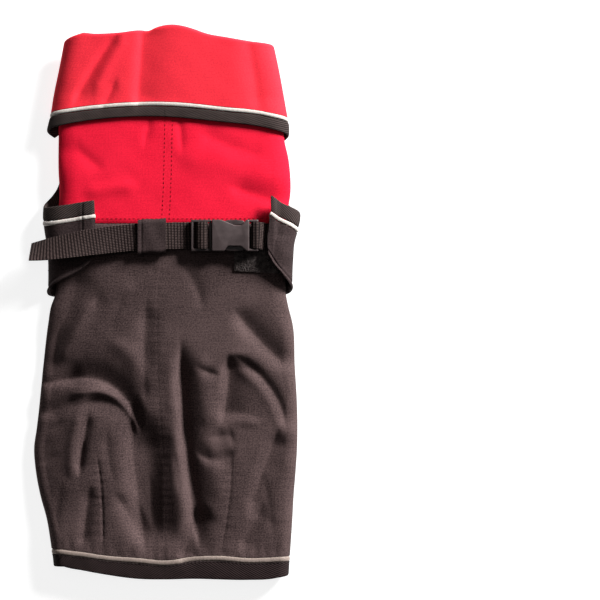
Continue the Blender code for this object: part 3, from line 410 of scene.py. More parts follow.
def unit(v: Array) -> Array:
    """Return vectors of length 1 along the last axis."""
    return v / np.maximum(np.linalg.norm(v, axis=-1, keepdims=True), 1e-9)


def rim_curve(table: Sequence[RimRow]) -> Callable[[Array], Array]:
    """Return y as a soft function of x for a table of RimRow."""
    return smooth([row.x for row in table], [row.y for row in table])


SEAM = smooth([-190, -125, -70, 8, 56, 120, 200], [-0.4, -1.0, -4.6, -5.2, 0.0, 2.4, 2.4])
HEM_PIPING = smooth([row.x for row in HEM], [row.piping for row in HEM])
HEM_LOWER = smooth([row.x for row in HEM], [row.lower for row in HEM])


def crease_height(folds: Sequence[Fold], x: Array, y: Array) -> Array:
    """Return the height that a table of folds adds at x and y.

    Each fold is a trough across a line that bows to one side as a parabola: exp(-t to a power),
    where t is the distance over the width. The power is low for a trough, which pinches its
    bottom, and 2 for a ridge. It fades in and out over a fifth of its length or FADE, whichever
    is more, and narrows to half its width there.
    """
    total = np.zeros(np.broadcast(x, y).shape)
    for fold in folds:
        dx = fold.x1 - fold.x0
        dy = fold.y1 - fold.y0
        length = math.hypot(dx, dy)
        along = ((x - fold.x0) * dx + (y - fold.y0) * dy) / length**2
        across = ((y - fold.y0) * dx - (x - fold.x0) * dy) / length
        off = across - fold.bow * 4 * along * (1 - along)
        fade = min(max(0.22, FADE / length), 0.5)
        ends = ramp(along, 0.0, fade) * (1 - ramp(along, 1 - fade, 1.0))
        width = np.where(off > 0, fold.width, fold.far or fold.width) * (0.5 + 0.5 * ends)
        power = 2.0 if fold.depth < 0 else TROUGH_POWER
        total = total - fold.depth * np.exp(-((np.abs(off) / width) ** power)) * ends
    return total


def ripple(x: Array, y: Array) -> Array:
    """Return the unevenness of hand-laid cloth: a sum of crossed sine waves up to 0.15 mm high."""
    return (
        0.07 * np.sin(x / 7.3 + 1.3 * np.sin(y / 19.0))
        + 0.05 * np.sin(y / 5.9 + 1.7 * np.sin(x / 23.0))
        + 0.03 * np.sin((x + y) / 3.7)
    )


def pucker(distance: Array, along: Array, height: float, pitch: float, reach: float) -> Array:
    """Return the small gathers beside a seam: a sine along it that fades with the distance."""
    wave = np.sin(2 * math.pi * along / pitch + 1.7 * np.sin(along / 11.0))
    return height * wave * np.exp(-((distance / reach) ** 2))


def label_bump(x: Array, y: Array) -> Array:
    """Return 1 over the label on the left belly flap and 0 away from it."""
    across = np.abs(x - LABEL_X) - LABEL_WIDTH / 2
    along = np.abs(y - LABEL_Y) - LABEL_LENGTH / 2
    return (1 - ramp(across, 5.0, 18.0)) * (1 - ramp(along, 9.4, 19.0))


def plain_back(x: Array, y: Array) -> Array:
    """Return the height of the back with its large folds and ripples alone."""
    crown = CROWN * (1 - (x / HALF_WIDTH) ** 2)
    return BACK_HEIGHT + crown + crease_height(FOLDS, x, y) + ripple(x, y)


def sewn_back(x: Array, y: Array) -> Array:
    """Return the height of the back with its creases, the sunk middle seam and its gathers."""
    from_seam = x - SEAM(y)
    above_hem = y - HEM_PIPING(x)
    black = (1 - ramp(y, SEAM_Y - 4.0, SEAM_Y)) * ramp(above_hem, 0.0, 4.0)
    seam = (pucker(from_seam, y, 0.07, 6.1, 6.0) - 0.10 * bump(from_seam, 0.0, 0.9)) * black
    hem = pucker(above_hem, x, 0.22, 8.3, 11.0) * ramp(above_hem, 0.0, 5.0)
    waist = -0.8 * bump(y, SEAM_Y, 1.1)
    darts = pucker(x + 47.5, y, 0.12, 6.7, 5.0) + pucker(x - 44.5, y, 0.12, 7.1, 5.0)
    darts = darts * (1 - ramp(y, -112.0, -100.0))
    tables = (CREASES, FLANKS, NECK_CREASES)
    creases = sum(crease_height(table, x, y) for table in tables)
    return plain_back(x, y) + seam + hem + waist + darts + creases


def coat_floor(x: Array, y: Array) -> Array:
    """Return the height of the belly face of the body and the neck."""
    over_chest = LAYER * ramp(y, -13.0, 1.0)
    over_collar = LAYER * ramp(y, 80.0, 101.0)
    over_label = (LABEL + SEAM_GAP) * label_bump(x, y)
    lifted = -crease_height(BELLY_CREASES, x, y)
    return over_chest + over_collar + over_label + lifted


def collar_floor(x: Array, y: Array) -> Array:
    """Return the height of the collar's belly face, which lies on the chest panel."""
    return LAYER + 0 * x + 0 * y


def collar_roof(x: Array, y: Array) -> Array:
    """Return the height of the collar's outer face on the back."""
    return plain_back(x, y) + COLLAR_RISE + crease_height(COLLAR_CREASES, x, y)


def wing_ends(x: Array) -> Array:
    """Return the turned-back band at each wing's end: a low step up with a notch beside it."""
    left = 1.0 * ramp(x, -64.0, -57.0) - 0.9 * ramp(x, -53.0, -49.6) - 0.5 * bump(x, -59.6, 0.7)
    right = 1.1 * (1 - ramp(x, 78.0, 83.0)) - 0.5 * bump(x, 80.6, 0.7)
    return left + right * ramp(x, 60.0, 70.0)


def chest_roof(x: Array, y: Array) -> Array:
    """Return the height of the wings' outer face on the back, raised over the right strap.

    The right wing sinks again below the strap, towards the patch.
    """
    lift = RIGHT_LIFT * ramp(x, 0.0, 40.0) - (RIGHT_LIFT - RIGHT_SETTLED) * ramp(x, 77.0, 84.0)
    lift = lift * (1 - WING_DROP * (1 - ramp(y, 24.0, 38.0)))
    relief = wing_ends(x) + crease_height(WING_CREASES, x, y)
    return plain_back(x, y) + CHEST_RISE + lift + relief


def chest_floor(x: Array, y: Array) -> Array:
    """Return the height of the chest panel's face on the floor: flat, with shallow creases."""
    return 0.25 + 0.2 * np.sin(x / 17.0 + 0.6) * np.sin(y / 13.0) + 0 * y


class Section(NamedTuple):
    """Lengths and heights of one side of a section through the flattened tube.

    Attributes:
        flat: End of the flat belly.
        shoulder: Start of the back.
        low: Height of the belly.
        high: Height of the back.
        waist: Height at which the lower and the upper quarter ellipse meet.
        lower: Length of the lower quarter ellipse.
        upper: Length of the upper one.
    """

    flat: Array
    shoulder: Array
    low: Array
    high: Array
    waist: Array
    lower: Array
    upper: Array


@dataclass
class Form:
    """A flattened tube of cloth: flat belly, round side folds, and the back on top.

    A place on it is a distance u round the section from the middle of the belly, and a y.

    Attributes:
        sides: The outline, as rows of reach to the left and the right.
        floor: Height of the belly face at x and y.
        roof: Height of the back face at x and y.
        low_radius: Reach of the fold between the belly and the side.
        top_radius: Reach of the fold between the side and the back, at y.
    """

    sides: Sequence[SideRow]
    floor: Height
    roof: Height
    low_radius: float
    top_radius: Callable[[Array], Array]

    def reach(self, side: Array, y: Array) -> Array:
        """Return how far the outline reaches from the middle on one side."""
        knots = [row.y for row in self.sides]
        left = smooth(knots, [row.left for row in self.sides])
        right = smooth(knots, [row.right for row in self.sides])
        return np.where(np.asarray(side) > 0, right(y), left(y))

    def section(self, side: Array, y: Array) -> Section:
        """Return the section on one side at y."""
        reach = self.reach(side, y)
        flat = reach - self.low_radius
        top_radius = self.top_radius(y)
        shoulder = reach - top_radius
        low = self.floor(side * flat, y)
        high = self.roof(side * shoulder, y)
        waist = low + WAIST_SHARE * (high - low)
        lower = math.pi / 2 * np.sqrt((self.low_radius**2 + (waist - low) ** 2) / 2)
        upper = math.pi / 2 * np.sqrt((top_radius**2 + (high - waist) ** 2) / 2)
        return Section(flat, shoulder, low, high, waist, lower, upper)

    def point(self, side: Array, u: Array, y: Array, inset: Array | float = 0.0) -> Array:
        """Return x, y, z at a distance u round the section, moved in by inset.

        The belly is flat up to its end, two quarter ellipses lead up the side, and the back
        follows the roof.
        """
        side = np.asarray(side, float)
        y = np.asarray(y, float)
        flat, _, low, high, waist, lower, upper = self.section(side, y)
        bend = np.clip((u - flat) / lower, 0, 1) * math.pi / 2
        rise = np.clip((u - flat - lower) / upper, 0, 1) * math.pi / 2
        over = np.maximum(u - flat - lower - upper, 0)
        x = np.minimum(u, flat) + (self.low_radius - inset) * np.sin(bend)
        x = x - (self.top_radius(y) - inset) * (1 - np.cos(rise)) - over
        z = self.floor(side * np.minimum(u, flat), y) + inset
        z = z + (waist - low - inset) * (1 - np.cos(bend))
        z = z + (high - inset - waist) * np.sin(rise)
        z = np.where(over > 0, self.roof(side * x, y) - inset, z)
        return np.stack(np.broadcast_arrays(side * x, y, z), axis=-1)

    def station(self, side: Array, place: Array, y: Array, front: Array, seam: Array) -> Array:
        """Return u at a station: 0 front edge, 1 belly's end, 3 shoulder, 4 seam on the back."""
        cut = self.section(side, y)
        u = front + (cut.flat - front) * np.clip(place, 0, 1)
        u = u + cut.lower * np.clip(place - 1, 0, 1) + cut.upper * np.clip(place - 2, 0, 1)
        return u + (cut.shoulder - side * seam) * np.clip(place - 3, 0, 1)

    def around(self, face: Face, x: float, y: float, side: float) -> Array:
        """Return u of a place named by its face and its x."""
        cut = self.section(side, y)
        if face is Face.BELLY:
            return np.minimum(x, cut.flat)
        if face is Face.SIDE:
            return cut.flat + cut.lower
        return cut.flat + cut.lower + cut.upper + cut.shoulder - x

    def rim(self, side: Array, place: Array, back: Callable, belly: Callable, front: float,
            guess: float) -> Array:
        """Return y of an edge that has one curve on the back and another on the belly."""
        cut = self.section(side, guess)
        x_back = side * cut.shoulder * (1 - np.clip(place - 3, 0, 1))
        x_belly = front + (cut.flat - front) * np.clip(place, 0, 1)
        share = np.clip((place - 1) / 2, 0, 1)
        return (1 - share) * belly(x_belly) + share * back(x_back)


def round_side(y: Array) -> Array:
    """Return the reach of the round fold at the side of the collar and the chest panel."""
    return SIDE_REACH + 0 * y


def coat_side(y: Array) -> Array:
    """Return the reach of the coat's side fold: round under the wings, tighter below them."""
    return SIDE_REACH - SIDE_TIGHTER * (1 - ramp(y, -26.0, -4.0))


COAT = Form(COAT_SIDES, coat_floor, sewn_back, low_radius=5.5, top_radius=coat_side)
COLLAR = Form(COLLAR_SIDES, collar_floor, collar_roof, low_radius=6.0, top_radius=round_side)
CHEST = Form(CHEST_SIDES, chest_floor, chest_roof, low_radius=7.0, top_radius=round_side)


def stations(belly: int, lower: int, upper: int, back: int) -> Array:
    """Return the stations of a wall's columns, from its front edge to its seam."""
    counts = (belly, lower, upper, back)
    pieces = [np.linspace(i, i + 1, n + 1)[:-1] for i, n in enumerate(counts)]
    return np.append(np.concatenate(pieces), 4.0)


def offset_line(u: Array, y: Array, distance: Array | float) -> tuple[Array, Array]:
    """Return a line in the plane of u and y moved sideways, to the left of its direction."""
    du = np.gradient(u)
    dy = np.gradient(y)
    length = np.hypot(du, dy)
    return u - distance * dy / length, y + distance * du / length


def slant_step(u: Array, y: Array) -> Array:
    """Return how far along y to move an edge so that it clears a slanting piping."""
    return EDGE_STEP * np.hypot(1.0, np.gradient(y) / np.gradient(u))


def chord_lengths(points: Array) -> Array:
    """Return each point's distance along the line through the points, along the first axis."""
    steps = np.linalg.norm(np.diff(points, axis=0), axis=-1)
    return np.concatenate([[0.0], np.cumsum(steps)])


def through(points: Array, count: int) -> Array:
    """Return count points evenly spaced along a soft curve through a few points."""
    chord = chord_lengths(points)
    t = np.linspace(0.0, chord[-1], count)
    return np.stack([smooth(chord, column)(t) for column in points.T], axis=-1)


def cell_corners(grid: Array) -> Array:
    """Return a grid's values at the four corners of each of its cells."""
    return np.stack([grid[:-1, :-1], grid[:-1, 1:], grid[1:, 1:], grid[1:, :-1]], axis=2)


def grid_faces(count: int, length: int, closed: bool = False, ring: bool = False) -> Array:
    """Return the four-sided faces between the points of a grid.

    Args:
        count: Rows of the grid.
        length: Points in a row.
        closed: True where the last row joins the first.
        ring: True where the end of each row joins its start.

    Returns:
        Corner numbers, one row for each face.
    """
    index = np.arange(count * length).reshape(count, length)
    if closed:
        index = np.concatenate([index, index[:1]], axis=0)
    if ring:
        index = np.concatenate([index, index[:, :1]], axis=1)
    return cell_corners(index).reshape(-1, 4)


def faces_inwards(flat: Array, faces: Array, away: Array) -> bool:
    """Return True where the faces, taken together, look against the directions away."""
    a, b, c, d = faces.T
    return bool((np.cross(flat[c] - flat[a], flat[d] - flat[b]) * away).sum() < 0)


class Maker:
    """Turns arrays of points into objects that ride on the coat's one body."""

    def add(self, name: str, points: Array, faces: Sequence[Sequence[int]], finish: "Finish",
            uv: Array | None = None) -> bpy.types.Object:
        """Add a mesh object from points in millimetres.

        Args:
            name: The piece's name.
            points: One row for each vertex.
            faces: Corner numbers of each face.
            finish: What it is made of.
            uv: One row for each face corner, in metres over the flat cloth.

        Returns:
            The new object, riding on the body.
        """
        mesh = bpy.data.meshes.new(name)
        mesh.from_pydata((points.reshape(-1, 3) * MM).tolist(), [], faces)
        if uv is not None:
            layer = mesh.uv_layers.new(name="cloth")
            layer.data.foreach_set("uv", uv.astype(np.float32).ravel())
        mesh.shade_smooth()
        mesh.materials.append(finish.material())
        made = bpy.data.objects.new(name, mesh)
        bpy.context.scene.collection.objects.link(made)
        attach(made, ROOT)
        LOG.info("%s: %d faces", name, len(mesh.polygons))
        return made

    def sheet(self, name: str, points: Array, u: Array, y: Array, thickness: float,
              finish: "Finish") -> bpy.types.Object:
        """Add a wall over a grid of points on its outer face, thickened behind it.

        The faces are turned to look away from the inside of the flattened tube.

        Args:
            name: The piece's name.
            points: A grid of points on the outer face.
            u: The flat cloth's coordinate round the coat at each point, in millimetres.
            y: The flat cloth's coordinate along the coat.
            thickness: The wall, in millimetres.
            finish: What it is made of.

        Returns:
            The new object.
        """
        faces = grid_faces(*points.shape[:2])
        flat = points.reshape(-1, 3)
        middle = (flat[faces[:, 0]] + flat[faces[:, 2]]) / 2
        inside = middle * (0.9, 1.0, 0.0) + (0.0, 0.0, BACK_HEIGHT / 2)
        if faces_inwards(flat, faces, middle - inside):
            faces = faces[:, ::-1]
        uv = np.stack(np.broadcast_arrays(u, y), axis=-1).reshape(-1, 2)[faces.ravel()] * MM
        made = self.add(name, points, faces.tolist(), finish, uv)
        give_wall(made, thickness)
        return made

    def bar(self, name: str, points: Array, finish: "Finish") -> bpy.types.Object:
        """Add a closed bar from a grid whose rows go round its section and columns along it.

        Args:
            name: The piece's name.
            points: The grid of points.
            finish: What it is made of.

        Returns:
            The new object, with flat caps on both ends.
        """
        count, length = points.shape[:2]
        faces = grid_faces(count, length, closed=True)
        along = chord_lengths(points.mean(axis=0))
        loop = np.concatenate([points, points[:1]]).mean(axis=1)
        round_it = chord_lengths(loop)
        v, u = np.meshgrid(round_it, along, indexing="ij")
        uv = cell_corners(np.stack([u, v], axis=-1))
        start = np.arange(count) * length
        caps = [start.tolist(), (start + length - 1)[::-1].tolist()]
        if self._signed_volume(points.reshape(-1, 3), faces) < 0:
            faces = faces[:, ::-1]
            uv = uv[:, :, ::-1]
            caps = [cap[::-1] for cap in caps]
        cap_uv = np.zeros((2 * count, 2))
        all_uv = np.concatenate([uv.reshape(-1, 2), cap_uv]) * MM
        return self.add(name, points, faces.tolist() + caps, finish, all_uv)

    @staticmethod
    def _signed_volume(flat: Array, faces: Array) -> float:
        """Return the volume inside the faces, below zero where they look inwards."""
        a, b, c, d = (flat[faces[:, i]] for i in range(4))
        return float((np.cross(a - c, b - d) * (a + b + c + d)).sum())


MAKE = Maker()


def give_wall(piece: bpy.types.Object, thickness: float) -> None:
    """Thicken an open sheet behind its outer face, in millimetres, and shade its edges crisp."""
    solid = piece.modifiers.new("Wall", "SOLIDIFY")
    solid.thickness = thickness * MM
    solid.offset = -1.0
    crisp_edges(piece)


def crisp_edges(piece: bpy.types.Object) -> None:
    """Shade the piece's edges that turn by more than CRISP_ANGLE as crisp ones.

    Args:
        piece: A piece whose other modifiers are already on it.
    """
    group = bpy.data.node_groups.get("crisp_edges")
    if group is None:
        group = bpy.data.node_groups.new("crisp_edges", "GeometryNodeTree")
        for in_out in ("INPUT", "OUTPUT"):
            group.interface.new_socket("Geometry", in_out=in_out,
                                       socket_type="NodeSocketGeometry")
        source = group.nodes.new("NodeGroupInput")
        target = group.nodes.new("NodeGroupOutput")
        angle = group.nodes.new("GeometryNodeInputMeshEdgeAngle")
        sharp = group.nodes.new("FunctionNodeCompare")
        sharp.operation = "GREATER_THAN"
        sharp.inputs[1].default_value = math.radians(CRISP_ANGLE)
        shade = group.nodes.new("GeometryNodeSetShadeSmooth")
        shade.domain = "EDGE"
        shade.inputs["Shade Smooth"].default_value = False
        group.links.new(source.outputs[0], shade.inputs["Geometry"])
        group.links.new(angle.outputs["Unsigned Angle"], sharp.inputs[0])
        group.links.new(sharp.outputs[0], shade.inputs["Selection"])
        group.links.new(shade.outputs[0], target.inputs[0])
    piece.modifiers.new("Crisp", "NODES").node_group = group


class Relief(Enum):
    """The kinds of surface relief, named as the node groups that draw them."""

    WEAVE = "plain_weave"
    TWILL = "twill_ribs"
    WEBBING = "webbing_picks"
    PILE = "brushed_pile"
    GRAIN = "moulded_grain"


@dataclass
class Nodes:
    """A short way to add and join shader nodes in one tree."""

    tree: bpy.types.NodeTree

    def add(self, kind: str, **values: object) -> bpy.types.Node:
        """Add a node and set its properties or, for names of sockets, their values or links.

        Args:
            kind: The node's type, without its Shader prefix.
            values: Properties, or sockets with spaces written as underscores.

        Returns:
            The new node.
        """
        node = self.tree.nodes.new("ShaderNode" + kind)
        for key, value in values.items():
            if hasattr(node, key):
                setattr(node, key, value)
            else:
                self.feed(node, key.replace("_", " "), value)
        return node

    def feed(self, node: bpy.types.Node, key: str | int, value: object) -> None:
        """Give an input a value, or join it to a socket."""
        socket = node.inputs[key]
        if isinstance(value, bpy.types.NodeSocket):
            self.tree.links.new(value, socket)
        else:
            socket.default_value = value

    def math(self, operation: str, *values: object) -> bpy.types.NodeSocket:
        """Return the output of a Math node."""
        node = self.tree.nodes.new("ShaderNodeMath")
        node.operation = operation
        for index, value in enumerate(values):
            self.feed(node, index, value)
        return node.outputs[0]

    def mix(self, factor: object, a: object, b: object) -> bpy.types.NodeSocket:
        """Return a mix of two colours."""
        node = self.tree.nodes.new("ShaderNodeMix")
        node.data_type = "RGBA"
        self.feed(node, 0, factor)
        self.feed(node, 6, a)
        self.feed(node, 7, b)
        return node.outputs[2]


class ReliefGroups:
    """Builds each relief's node group once: Vector and Pitch go in, Height and Tone come out."""

    def get(self, relief: Relief) -> bpy.types.NodeTree:
        """Return the group of a relief, made at its first use."""
        made = bpy.data.node_groups.get(relief.value)
        if made is None:
            made = bpy.data.node_groups.new(relief.value, "ShaderNodeTree")
            ports = made.interface
            ports.new_socket("Vector", in_out="INPUT", socket_type="NodeSocketVector")
            ports.new_socket("Pitch", in_out="INPUT", socket_type="NodeSocketFloat")
            ports.new_socket("Height", in_out="OUTPUT", socket_type="NodeSocketFloat")
            ports.new_socket("Tone", in_out="OUTPUT", socket_type="NodeSocketFloat")
            nodes = Nodes(made)
            source = made.nodes.new("NodeGroupInput")
            target = made.nodes.new("NodeGroupOutput")
            draw = {
                Relief.WEAVE: self._weave, Relief.TWILL: self._twill,
                Relief.WEBBING: self._webbing, Relief.PILE: self._pile,
                Relief.GRAIN: self._grain,
            }[relief]
            height, tone = draw(nodes, source.outputs["Vector"], source.outputs["Pitch"])
            made.links.new(height, target.inputs["Height"])
            made.links.new(tone, target.inputs["Tone"])
        return made

    @staticmethod
    def _noise(nodes: Nodes, vector: object, scale: float, detail: float,
               stretch: tuple[float, float, float] = (1.0, 1.0, 1.0)) -> bpy.types.NodeSocket:
        """Return noise over a stretched vector."""
        mapped = nodes.add("Mapping", Vector=vector, Scale=stretch)
        noise = nodes.add("TexNoise", Vector=mapped.outputs[0], Scale=scale, Detail=detail)
        return noise.outputs[0]

    @staticmethod
    def _wave(nodes: Nodes, value: object, pitch: object) -> bpy.types.NodeSocket:
        """Return a sine of a value that makes one turn for each pitch."""
        turns = nodes.math("DIVIDE", value, pitch)
        return nodes.math("SINE", nodes.math("MULTIPLY", turns, 2 * math.pi))

    def _weave(self, nodes: Nodes, vector: object, pitch: object) -> tuple:
        """Crossed sine waves for the threads, and stretched noise for slubs along them."""
        parts = nodes.add("SeparateXYZ", Vector=vector)
        waves = []
        for axis in (0, 1):
            turns = nodes.math("DIVIDE", parts.outputs[axis], pitch)
            uneven = nodes.math("MULTIPLY", self._noise(nodes, vector, 900.0, 1.0), 1.6)
            turns = nodes.math("MULTIPLY_ADD", turns, 2 * math.pi, uneven)
            waves.append(nodes.math("SINE", turns))
        threads = nodes.math("MULTIPLY", waves[0], waves[1])
        slubs = self._noise(nodes, vector, 60.0, 3.0, (1.0, 22.0, 1.0))
        ends = self._noise(nodes, vector, 60.0, 3.0, (22.0, 1.2, 1.0))
        streaks = nodes.math("MULTIPLY_ADD", ends, 0.30, nodes.math("MULTIPLY", slubs, 0.35))
        speckle = self._noise(nodes, vector, 950.0, 2.0)
        height = nodes.math("MULTIPLY_ADD", threads, 0.25, streaks)
        tone = nodes.math("MULTIPLY_ADD", speckle, 0.95, nodes.math("SUBTRACT", streaks, 0.30))
        return height, tone

    def _twill(self, nodes: Nodes, vector: object, pitch: object) -> tuple:
        """Slanting ridges: a sine of u and v added, broken along its length by a finer sine."""
        parts = nodes.add("SeparateXYZ", Vector=vector)
        slant = nodes.math("ADD", parts.outputs[1], parts.outputs[0])
        ridge = self._wave(nodes, slant, pitch)
        cross = nodes.math("SUBTRACT", parts.outputs[1], parts.outputs[0])
        beads = nodes.math("SINE", nodes.math("MULTIPLY", nodes.math("DIVIDE", cross, pitch), 14.0))
        height = nodes.math("MULTIPLY_ADD", ridge, 0.35, nodes.math("MULTIPLY", beads, 0.1))
        height = nodes.math("ADD", height, 0.5)
        # The tone follows the height: painted shade in the ribs' hollows and painted highlight on
        # their crests, with noise over it.
        tone = nodes.math("MULTIPLY_ADD", self._noise(nodes, vector, 300.0, 3.0), 0.3,
                          nodes.math("MULTIPLY", height, 0.75))
        return height, tone

    def _webbing(self, nodes: Nodes, vector: object, pitch: object) -> tuple:
        """Picks across the strap: a sine along it, dotted by a finer sine across it."""
        parts = nodes.add("SeparateXYZ", Vector=vector)
        ribs = self._wave(nodes, parts.outputs[0], pitch)
        dots = self._wave(nodes, parts.outputs[1], nodes.math("MULTIPLY", pitch, 0.5))
        both = nodes.math("MULTIPLY", nodes.math("ADD", ribs, 1.0), nodes.math("ADD", dots, 1.2))
        height = nodes.math("MULTIPLY", both, 0.25)
        # The tone follows the height: painted shade between the picks and painted highlight on
        # them, with noise over it.
        tone = nodes.math("MULTIPLY_ADD", self._noise(nodes, vector, 500.0, 2.0), 0.35,
                          nodes.math("MULTIPLY", height, 0.7))
        return height, tone

    def _pile(self, nodes: Nodes, vector: object, pitch: object) -> tuple:
        """Tangled fibres: fine noise over cells one pitch wide."""
        scale = nodes.math("DIVIDE", 1.0, pitch)
        cells = nodes.add("TexVoronoi", Vector=vector, Scale=scale)
        fibres = self._noise(nodes, vector, 1600.0, 4.0)
        height = nodes.math("MULTIPLY_ADD", cells.outputs["Distance"], 0.5, fibres)
        tone = self._noise(nodes, vector, 420.0, 5.0)
        return height, tone

    def _grain(self, nodes: Nodes, vector: object, pitch: object) -> tuple:
        """Spark-eroded grain of a mould: noise one pitch wide, with a broader one for its tone."""
        scale = nodes.math("DIVIDE", 1.0, pitch)
        noise = nodes.add("TexNoise", Vector=vector, Scale=scale, Detail=2.0)
        return noise.outputs[0], self._noise(nodes, vector, 180.0, 3.0)


GROUPS = ReliefGroups()


# How a finish spreads its two colours, its roughness and its relief
BROAD_SCALE = 26.0
BROAD_SHARE = 0.35
TONE_SHARE = 0.75
TONE_MIDDLE = 0.53
TONE_CONTRAST = 3.4
ROUGH_SPREAD = 0.14
SHEEN_ROUGHNESS = 0.45
RELIEF_STRENGTH = 0.9


@dataclass(frozen=True)
class Finish:
    """A surface: its colours, its relief and its gloss.

    Attributes:
        name: The material's name.
        slot: The record's material slot; not used.
        dark: Colour at the low end of the tone. Where the tone follows the relief's height, as in
            twill and webbing, it is painted shade in the hollows.
        light: Colour at the high end of the tone, there painted highlight on the crests.
        relief: The kind of relief.
        pitch: Size of one thread, rib or grain, in millimetres.
        depth: Height of the relief, in millimetres.
        roughness: The mean roughness.
        sheen: Weight of the fibres' sheen.
        specular: Level of the mirror-like reflection.
        flat_cloth: True where the relief follows the piece's own cloth coordinates.
        lean: Scale of the relief along the piece, which sets the slope of slanting ribs. Below
            zero they lean the other way.
    """

    name: str
    slot: str
    dark: Color
    light: Color
    relief: Relief
    pitch: float
    depth: float
    roughness: float
    sheen: float = 0.0
    specular: float = 0.08
    flat_cloth: bool = True
    lean: float = 1.0

    def material(self) -> bpy.types.Material:
        """Return the material, made at its first use."""
        made = bpy.data.materials.get(self.name)
        if made is None:
            made = bpy.data.materials.new(self.name)
            made.use_nodes = True
            self._draw(Nodes(made.node_tree))
        return made

    def _draw(self, nodes: Nodes) -> None:
        """Add the relief group and join it to the shader's colour, roughness and normal."""
        shader = nodes.tree.nodes["Principled BSDF"]
        if self.flat_cloth:
            vector = nodes.add("UVMap", uv_map="cloth").outputs["UV"]
        else:
            vector = nodes.add("TexCoord").outputs["Object"]
        if self.lean != 1.0:
            vector = nodes.add("Mapping", Vector=vector, Scale=(self.lean, 1.0, 1.0)).outputs[0]
        group = nodes.tree.nodes.new("ShaderNodeGroup")
        group.node_tree = GROUPS.get(self.relief)
        nodes.feed(group, "Vector", vector)
        nodes.feed(group, "Pitch", self.pitch * MM)
        place = nodes.add("TexCoord").outputs["Object"]
        broad = nodes.add("TexNoise", Vector=place, Scale=BROAD_SCALE, Detail=3.0).outputs[0]
        tone = nodes.math("MULTIPLY_ADD", broad, BROAD_SHARE,
                          nodes.math("MULTIPLY", group.outputs["Tone"], TONE_SHARE))
        centred = nodes.math("SUBTRACT", tone, TONE_MIDDLE)
        spread = nodes.math("MULTIPLY_ADD", centred, TONE_CONTRAST, 0.5)
        factor = nodes.add("Clamp", Value=spread).outputs[0]
        color = nodes.mix(factor, (*self.dark, 1.0), (*self.light, 1.0))
        nodes.feed(shader, "Base Color", color)
        rough = nodes.math("MULTIPLY_ADD", group.outputs["Tone"], ROUGH_SPREAD,
                           self.roughness - ROUGH_SPREAD / 2)
        nodes.feed(shader, "Roughness", rough)
        shader.inputs["Sheen Weight"].default_value = self.sheen
        shader.inputs["Sheen Roughness"].default_value = SHEEN_ROUGHNESS
        shader.inputs["Specular IOR Level"].default_value = self.specular
        relief = nodes.add("Bump", Height=group.outputs["Height"], Distance=self.depth * MM,
                           Strength=RELIEF_STRENGTH)
        nodes.feed(shader, "Normal", relief.outputs[0])


BLACK = Finish("black_cloth", "black_softshell", (0.026, 0.016, 0.016), (0.090, 0.059, 0.057),
               Relief.WEAVE, 0.55, 0.10, 0.82, 0.02)
# A darker copy of the black softshell for the chest panel with its wings and for the keeper:
# painted shade.
BLACK_PAINTED_SHADE = Finish("black_cloth_painted_shade", "black_softshell", (0.013, 0.008, 0.008), (0.044, 0.029, 0.029),
              Relief.WEAVE, 0.55, 0.06, 0.80, 0.02)
RED = Finish("red_cloth", "red_softshell", (0.62, 0.005, 0.026), (0.78, 0.012, 0.040),
             Relief.WEAVE, 0.55, 0.08, 0.72, 0.0)
# A copy of the red softshell for the collar, with more green and blue in it: painted sheen.
COLLAR_RED_PAINTED_SHEEN = Finish("collar_red_painted_sheen", "red_softshell", (0.64, 0.018, 0.036),
                    (0.80, 0.030, 0.048), Relief.WEAVE, 0.55, 0.08, 0.72, 0.0)
TWILL = Finish("black_twill", "twill_binding", (0.008, 0.005, 0.005), (0.056, 0.041, 0.038),
               Relief.TWILL, 1.35, 0.30, 0.80, 0.02, lean=0.46)
# A darker copy of the twill binding for the hem, its flange and the front edges: painted shade.
HEM_TWILL_PAINTED_SHADE = Finish("hem_twill_painted_shade", "twill_binding", (0.002, 0.001, 0.001), (0.032, 0.020, 0.020),
                   Relief.TWILL, 1.35, 0.30, 0.80, 0.02, lean=-0.5)
PIPING = Finish("pale_piping", "piping", (0.19, 0.15, 0.13), (0.31, 0.245, 0.215),
                Relief.WEAVE, 0.35, 0.04, 0.45)
# A brighter copy of the piping for the collar and the chest panel: painted reflection.
PIPING_PAINTED_REFLECTION = Finish("piping_painted_reflection", "piping", (0.38, 0.345, 0.315), (0.60, 0.55, 0.51),
                       Relief.WEAVE, 0.35, 0.04, 0.45)
WEBBING = Finish("black_webbing", "webbing", (0.006, 0.003, 0.003), (0.066, 0.045, 0.041),
                 Relief.WEBBING, 2.25, 0.25, 0.72, 0.02)
PLASTIC = Finish("buckle_plastic", "dark_plastic", (0.038, 0.026, 0.026), (0.062, 0.044, 0.044),
                 Relief.GRAIN, 0.35, 0.03, 0.46, specular=0.45, flat_cloth=False)
# A darker copy of the buckle plastic for the prongs and their frame: painted shade.
PLASTIC_PAINTED_SHADE = Finish("frame_plastic_painted_shade", "dark_plastic", (0.024, 0.016, 0.016),
                      (0.042, 0.029, 0.029), Relief.GRAIN, 0.35, 0.03, 0.46, specular=0.4,
                      flat_cloth=False)
FLEECE = Finish("grey_fleece_pile", "grey_fleece", (0.20, 0.175, 0.19), (0.46, 0.42, 0.44),
                Relief.PILE, 1.2, 0.5, 0.95, 0.35, flat_cloth=False)
